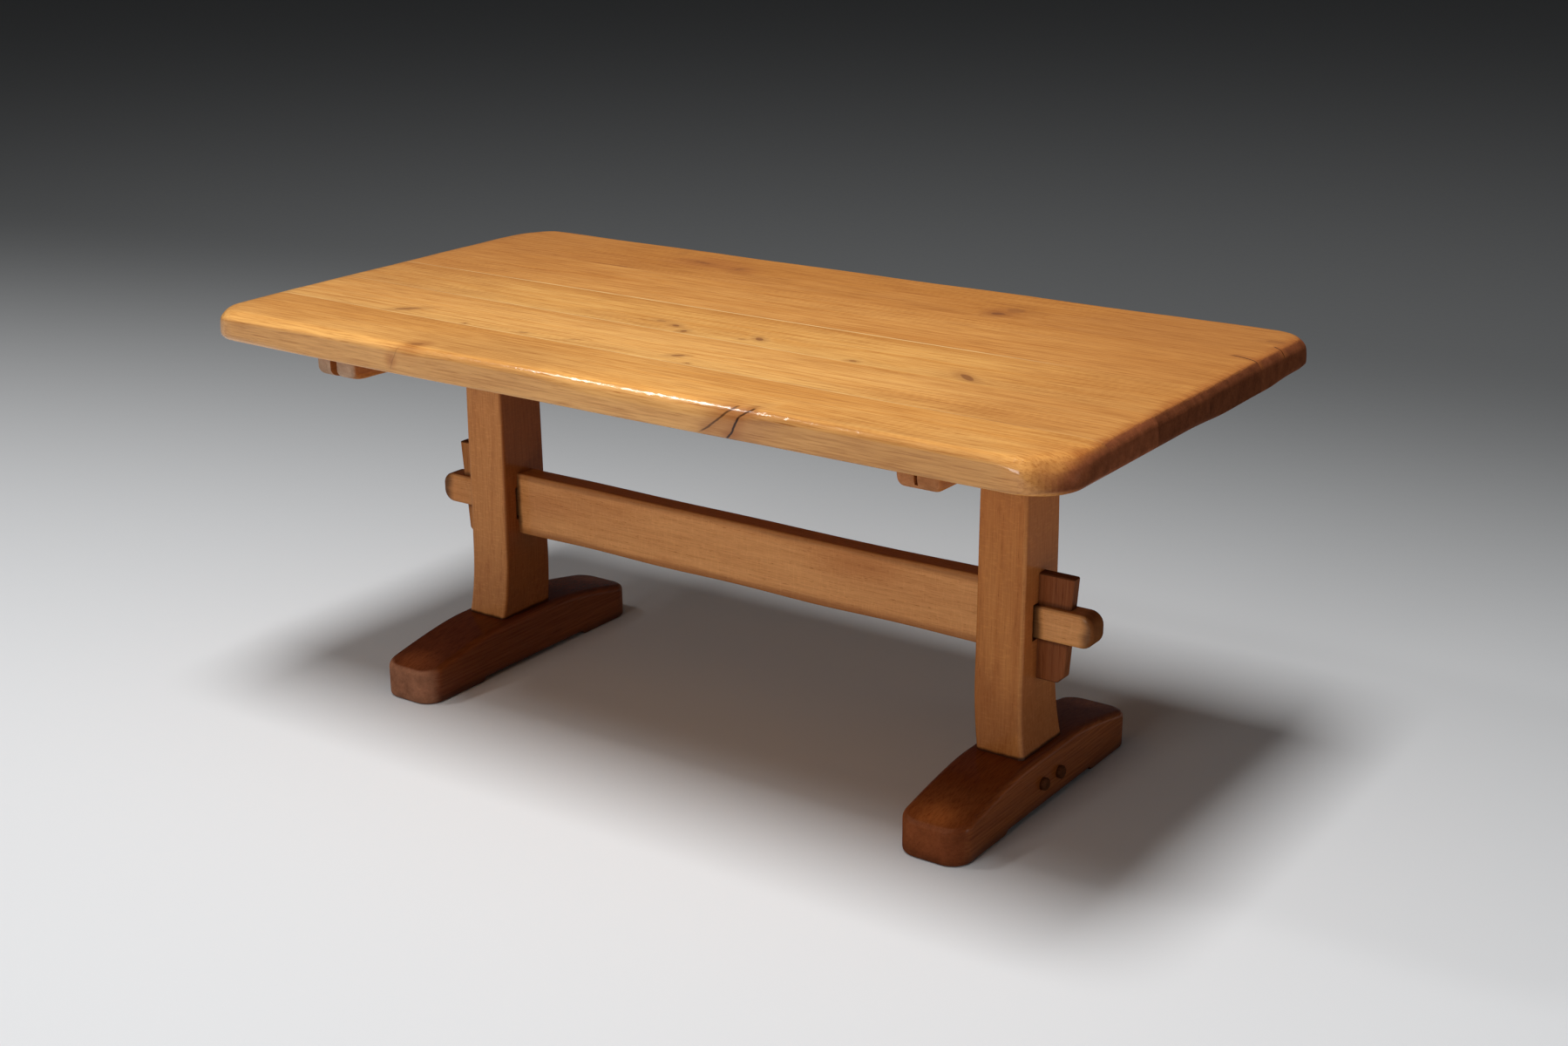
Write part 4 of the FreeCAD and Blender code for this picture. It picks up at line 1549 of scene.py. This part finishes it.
@dataclass
class Pegs:
    """Whittled pegs through the post tenons, eight alike."""

    foot_face: float = 0.6355
    foot_height: float = 0.047
    bearer_face: float = 0.6023
    bearer_height: float = 0.659
    half_spacing: float = 0.0285
    shank_radius: float = 0.0105
    shank_length: float = 0.070
    head_radius: float = 0.0113
    head_length: float = 0.0098
    chamfer: float = 0.0028
    sides: int = 9
    whittle: float = 0.0016
    neck_below: float = 0.2
    neck_above: float = 0.01
    knife_waves: float = 160.0
    knife_shifts: tuple[float, float, float] = (0.0, 9.0, 21.0)
    knife_seed: float = 2.0
    twist_seed: int = 7

    def build(self) -> None:
        """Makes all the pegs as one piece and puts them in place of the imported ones."""
        faces = ((self.foot_face, self.foot_height), (self.bearer_face, self.bearer_height))
        starts = [
            (sign * face, end * self.half_spacing, height)
            for face, height in faces
            for sign in (1, -1)
            for end in (1, -1)
        ]
        mesh = bpy.data.meshes.new("peg_places")
        mesh.from_pydata(starts, [], [])
        material = PEG_OAK.material("pegs", Grain.ALONG_TABLE, (0.0, 0.05), 5.0)
        piece = self._tree(material).apply("whittled_pegs", mesh)
        nodes = [
            f"{side}_{joint}_peg_{number}"
            for side in ("right", "left")
            for joint in ("foot", "bearer")
            for number in (1, 2)
        ]
        place_piece(piece, nodes)

    def _tree(self, material: Material) -> Shape:
        """The rule of the pegs: a stepped round, cut into flats, one at each place, pointing outwards.

        Args:
            material: The pegs' finish.

        Returns:
            The tree.
        """
        shape = Shape("whittled_pegs")
        shank, length, head, proud, chamfer, whittle, seed = shape.inputs(
            self, "shank_radius shank_length head_radius head_length chamfer whittle knife_seed"
        )

        neck = [0.0 - chamfer * self.neck_below, chamfer * self.neck_above]
        heights = [0.0 - length, *neck, proud - chamfer, proud]
        radii = [shank, shank, head, head, head - chamfer]
        outline = shape.made("GeometryNodeMeshLine", {"Count": len(heights)})
        index = shape.node("GeometryNodeInputIndex").outputs[0]
        rise = shape.point(0.0, 0.0, self._pick(shape, index, heights))
        placed = shape.made("GeometryNodeSetPosition", {"Geometry": outline, "Position": rise})
        curve = shape.made("GeometryNodeMeshToCurve", {"Mesh": placed})
        ring = shape.made("GeometryNodeCurvePrimitiveCircle", {"Resolution": self.sides, "Radius": 1.0})
        width = self._pick(shape, index, radii)
        solid = shape.made(
            "GeometryNodeCurveToMesh",
            {"Curve": curve, "Profile Curve": ring, "Scale": width, "Fill Caps": True},
        )
        x, y, z = shape.split(shape.place(), "XYZ")
        outwards = shape.point(0.0, x.sign() * (math.pi / 2), 0.0)
        turn = shape.made("FunctionNodeEulerToRotation", {0: outwards})
        pegs = shape.made(
            "GeometryNodeInstanceOnPoints", {"Points": shape.start, "Instance": solid, "Rotation": turn}
        )
        twist = shape.node(
            "FunctionNodeRandomValue",
            {"data_type": "FLOAT"},
            {"Min": 0.0, "Max": 2.0 * math.pi, "Seed": self.twist_seed},
        ).outputs["Value"]
        twisted = shape.point(0.0, 0.0, Value(shape, twist))
        spin = shape.made("FunctionNodeEulerToRotation", {0: twisted})
        pegs = shape.made(
            "GeometryNodeRotateInstances", {"Instances": pegs, "Rotation": spin, "Local Space": True}
        )
        real = shape.made("GeometryNodeRealizeInstances", {"Geometry": pegs})
        waves = self.knife_waves
        knife = [
            (shape.noise(shape.point(x * waves + seed, y * waves + shift, z * waves), 0.0) - 0.5) * whittle
            for shift in self.knife_shifts
        ]
        shape.finish(shape.moved(real, shape.point(*knife)), material)
        return shape

    @staticmethod
    def _pick(shape: Shape, index: Socket, values: Sequence[Value]) -> Value:
        """One of several values, by the point's number.

        Args:
            shape: The tree.
            index: The point's number.
            values: The values.

        Returns:
            The value picked.
        """
        sockets = {"Index": index, **{place: value for place, value in enumerate(values, start=1)}}
        made = shape.node("GeometryNodeIndexSwitch", {"data_type": "FLOAT", "items": len(values)}, sockets)
        return Value(shape, made.outputs[0])


@dataclass
class TopFixings:
    """Hexagon-headed screws with washers, which draw the top down onto the bearers; four alike."""

    head_reach: float = 0.561
    long_place: float = 0.3688
    short_place: float = -0.2694
    seat_height: float = 0.667
    shank_radius: float = 0.005
    shank_length: float = 0.063
    head_radius: float = 0.0098
    head_height: float = 0.007
    washer_radius: float = 0.019
    washer_thickness: float = 0.003
    washer_sides: int = 40
    head_sides: int = 6
    shank_sides: int = 20
    segments: int = 8
    rim_fade: Span = (0.36, 0.5)
    rim_draw: float = -0.06

    def build(self) -> None:
        """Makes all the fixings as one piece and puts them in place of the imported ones."""
        starts = [
            (sign * self.head_reach, sign * across, self.seat_height)
            for sign in (1, -1)
            for across in (self.long_place, self.short_place)
        ]
        mesh = bpy.data.meshes.new("fixing_places")
        mesh.from_pydata(starts, [], [])
        steel = PlatedSteel()
        piece = self._tree(steel.material()).apply("top_fixings", mesh)
        nodes = [
            f"{side}_top_{kind}_{number}"
            for side in ("right", "left")
            for kind in ("screw", "washer")
            for number in (1, 2)
        ]
        place_piece(piece, nodes)

    def _tree(self, material: Material) -> Shape:
        """The rule of the fixings: shank, hexagon head and washer, one set at each place.

        Args:
            material: Their finish.

        Returns:
            The tree.
        """
        shape = Shape("top_fixings")
        shank_radius, shank_length, head_radius, head_height = shape.inputs(
            self, "shank_radius shank_length head_radius head_height"
        )
        washer_radius, thickness = shape.inputs(self, "washer_radius washer_thickness")
        head_middle = 0.0 - thickness - head_height * 0.5
        rounds = [
            self._round(shape, self.washer_sides, washer_radius, thickness, 0.0 - thickness * 0.5),
            self._round(shape, self.head_sides, head_radius, head_height, head_middle),
            self._round(shape, self.shank_sides, shank_radius, shank_length, shank_length * 0.5),
        ]
        joined = shape.made("GeometryNodeJoinGeometry", {0: rounds})
        sets = shape.made("GeometryNodeInstanceOnPoints", {"Points": shape.start, "Instance": joined})
        shape.finish(sets, material)
        return shape

    def _round(
        self, shape: Shape, sides: int, radius: Value, depth: Value, middle: Value
    ) -> Socket:
        """Upright round or polygon with eased rims.

        Args:
            shape: The tree.
            sides: How many sides it has.
            radius: Its radius.
            depth: Its height.
            middle: Height of its middle over the seat.

        Returns:
            Its socket.
        """
        made = shape.node(
            "GeometryNodeMeshCylinder",
            {"fill_type": "NGON"},
            {"Vertices": sides, "Side Segments": self.segments, "Radius": radius, "Depth": depth},
        ).outputs["Mesh"]
        x, y, z = shape.split(shape.place(), "XYZ")
        rim = (z / depth).size().fade(*self.rim_fade) * self.rim_draw
        return shape.moved(made, shape.point(x * rim, y * rim, middle))


@dataclass
class TuskedStretcher:
    """The stretcher and the wedges that lock it."""

    height: float = 0.327
    half_tusk: float = 0.029
    half_rail: float = 0.0595
    inner_face: float = 0.517
    outer_face: float = 0.607
    tip: float = 0.713

    def build(self) -> None:
        """Dresses the stretcher and its wedges."""
        # Dark lines where the stretcher meets the posts and towards its tips: painted shade in the joints,
        # with dirt.
        joints = [
            GrimeAndShade(Axis.LENGTH, sign * place, reach, 0.80)
            for sign in (1, -1)
            for place, reach in ((self.inner_face, 0.012), (self.outer_face, 0.018), (self.tip, 0.030))
        ]
        # Darker along the upper and lower edges of the stretcher; along the upper edge it is painted shade
        # under the top.
        for edge in (1, -1):
            rim = self.height + edge * self.half_rail
            joints.append(GrimeAndShade(Axis.HEIGHT, rim, 0.017, 0.62, (0.230, 0.074, 0.020)))
        heart = (0.055, self.height + 0.02)
        rail = RAIL_OAK.material("stretcher", Grain.ALONG_TABLE, heart, 41.0, grime_and_shade=joints)
        dress("stretcher", rail)
        # Dark bands where the wedges pass through the tusks: painted shade in the joints, with dirt.
        grips = [
            GrimeAndShade(Axis.HEIGHT, self.height + half, 0.010, 0.60) for half in (self.half_tusk, -self.half_tusk)
        ]
        wedges = (("right", 1.0, 61.0, WEDGE_OAK), ("left", -1.0, 71.0, LEFT_WEDGE_OAK))
        for side, sign, seed, oak in wedges:
            heart = (sign * 0.60, 0.05)
            wedge = oak.material(f"{side}_wedge", Grain.UPRIGHT, heart, seed, grime_and_shade=grips)
            dress(f"{side}_wedge", wedge)


@dataclass(frozen=True)
class Softbox:
    """A rectangular light: its place, what it points at, its width and height in metres, and its watts."""

    name: str
    place: Place
    target: Place
    sides: tuple[float, float]
    power: float
    mirrored: bool = True

    def hang(self) -> None:
        """Hangs the light, which polished faces show only if it is mirrored."""
        lamp = bpy.data.lights.new(self.name, "AREA")
        lamp.shape = "RECTANGLE"
        lamp.size, lamp.size_y = self.sides
        lamp.energy = self.power
        holder = bpy.data.objects.new(self.name, lamp)
        holder.visible_glossy = self.mirrored
        holder.location = self.place
        ahead = Vector(self.target) - Vector(self.place)
        holder.rotation_euler = ahead.to_track_quat("-Z", "Y").to_euler()
        bpy.context.scene.collection.objects.link(holder)


LIGHTS = (
    Softbox("key", (0.12, -1.2, 7.2), (0.0, 0.0, 0.7), (2.0, 2.9), 498.0, mirrored=False),
    Softbox("left", (-2.75, -1.9, 4.4), (0.0, 0.0, 0.7), (0.55, 0.55), 36.0),
    Softbox("fill", (-0.5, -9.0, 2.6), (0.0, 0.0, 0.45), (3.2, 3.0), 224.0),
    Softbox("right", (5.0, 0.5, 1.0), (0.5, 0.0, 0.3), (1.2, 1.2), 11.0),
)


@dataclass
class Studio:
    """Floor, light and camera."""

    camera_place: Place = (2.1438, -2.9151, 1.6142)
    yaw: float = 35.137
    pitch: float = 18.874
    roll: float = -0.501
    lens: float = 49.007
    sensor: float = 36.0
    floor_reach: float = 60.0
    floor_near: Colour = (0.678, 0.686, 0.697)
    # The far colour paints the shade where the light falls off behind the table.
    floor_far: Colour = (0.152, 0.156, 0.158)
    floor_fade: Span = (-0.9, 3.4)
    floor_slant: float = 0.15
    floor_waves: float = 40.0
    floor_roughness: float = 0.55
    floor_specular: float = 0.25
    sky: Colour = (0.95, 0.97, 1.0)
    sky_strength: float = 0.05

    def build(self) -> None:
        """Makes the whole studio."""
        self._floor()
        self._lights()
        self._camera()
        bpy.context.scene.view_settings.view_transform = "Standard"

    def _floor(self) -> None:
        """Lays a plain pale floor whose colour darkens far behind the table: painted shade where the light
        falls off.
        """
        reach = self.floor_reach
        mesh = bpy.data.meshes.new("floor")
        turns = ((-1, -1), (1, -1), (1, 1), (-1, 1))
        mesh.from_pydata([(x * reach, y * reach, 0.0) for x, y in turns], [], [(0, 1, 2, 3)])
        floor = bpy.data.objects.new("floor", mesh)
        bpy.context.scene.collection.objects.link(floor)
        shader = Shader("studio_floor")
        x, y, z = shader.axes("XYZ")
        grain = shader.noise(shader.point(x * self.floor_waves, y * self.floor_waves, z), 3.0)
        # Painted shade: the floor's colour darkens towards the back, as the light falls off.
        painted_falloff = (y - x * self.floor_slant).fade(*self.floor_fade)
        skin = {
            "Base Color": shader.mix(painted_falloff, self.floor_near, self.floor_far),
            "Roughness": self.floor_roughness + grain * 0.08,
            "Specular IOR Level": self.floor_specular,
        }
        mesh.materials.append(shader.surface(skin))

    def _lights(self) -> None:
        """Hangs the lights: a large one high overhead, a small one on the left, and two that fill in."""
        for light in LIGHTS:
            light.hang()
        world = bpy.data.worlds.new("studio")
        bpy.context.scene.world = world
        world.use_nodes = True
        background = world.node_tree.nodes["Background"]
        background.inputs["Color"].default_value = (*self.sky, 1.0)
        background.inputs["Strength"].default_value = self.sky_strength

    def _camera(self) -> None:
        """Sets the camera up at the photo's viewpoint."""
        yaw, pitch, roll = (math.radians(angle) for angle in (self.yaw, self.pitch, self.roll))
        flat = math.cos(pitch)
        ahead = Vector((-math.sin(yaw) * flat, math.cos(yaw) * flat, -math.sin(pitch)))
        level = Vector((math.cos(yaw), math.sin(yaw), 0.0))
        above = level.cross(ahead)
        right = level * math.cos(roll) + above * math.sin(roll)
        up = above * math.cos(roll) - level * math.sin(roll)
        lens = bpy.data.cameras.new("camera")
        lens.sensor_width = self.sensor
        lens.lens = self.lens
        camera = bpy.data.objects.new("camera", lens)
        turn = Matrix((right, up, -ahead)).transposed().to_4x4()
        camera.matrix_world = Matrix.Translation(Vector(self.camera_place)) @ turn
        bpy.context.scene.collection.objects.link(camera)
        bpy.context.scene.camera = camera


def main() -> None:
    """Builds and dresses the table, piece by piece."""
    logging.basicConfig(level=logging.INFO, format="%(name)s: %(message)s")
    PlankTop().build()
    TuskedStretcher().build()
    Trestle("right", 1.0, 100.0, FRAME_OAK, FOOT_OAK, BEARER_OAK, 0.75, 0.32).build()
    Trestle("left", -1.0, 200.0, LEFT_POST_OAK, LEFT_FOOT_OAK, LEFT_BEARER_OAK, 0.0, 0.30).build()
    Pegs().build()
    TopFixings().build()
    Studio().build()


if __name__ == "__main__":
    main()
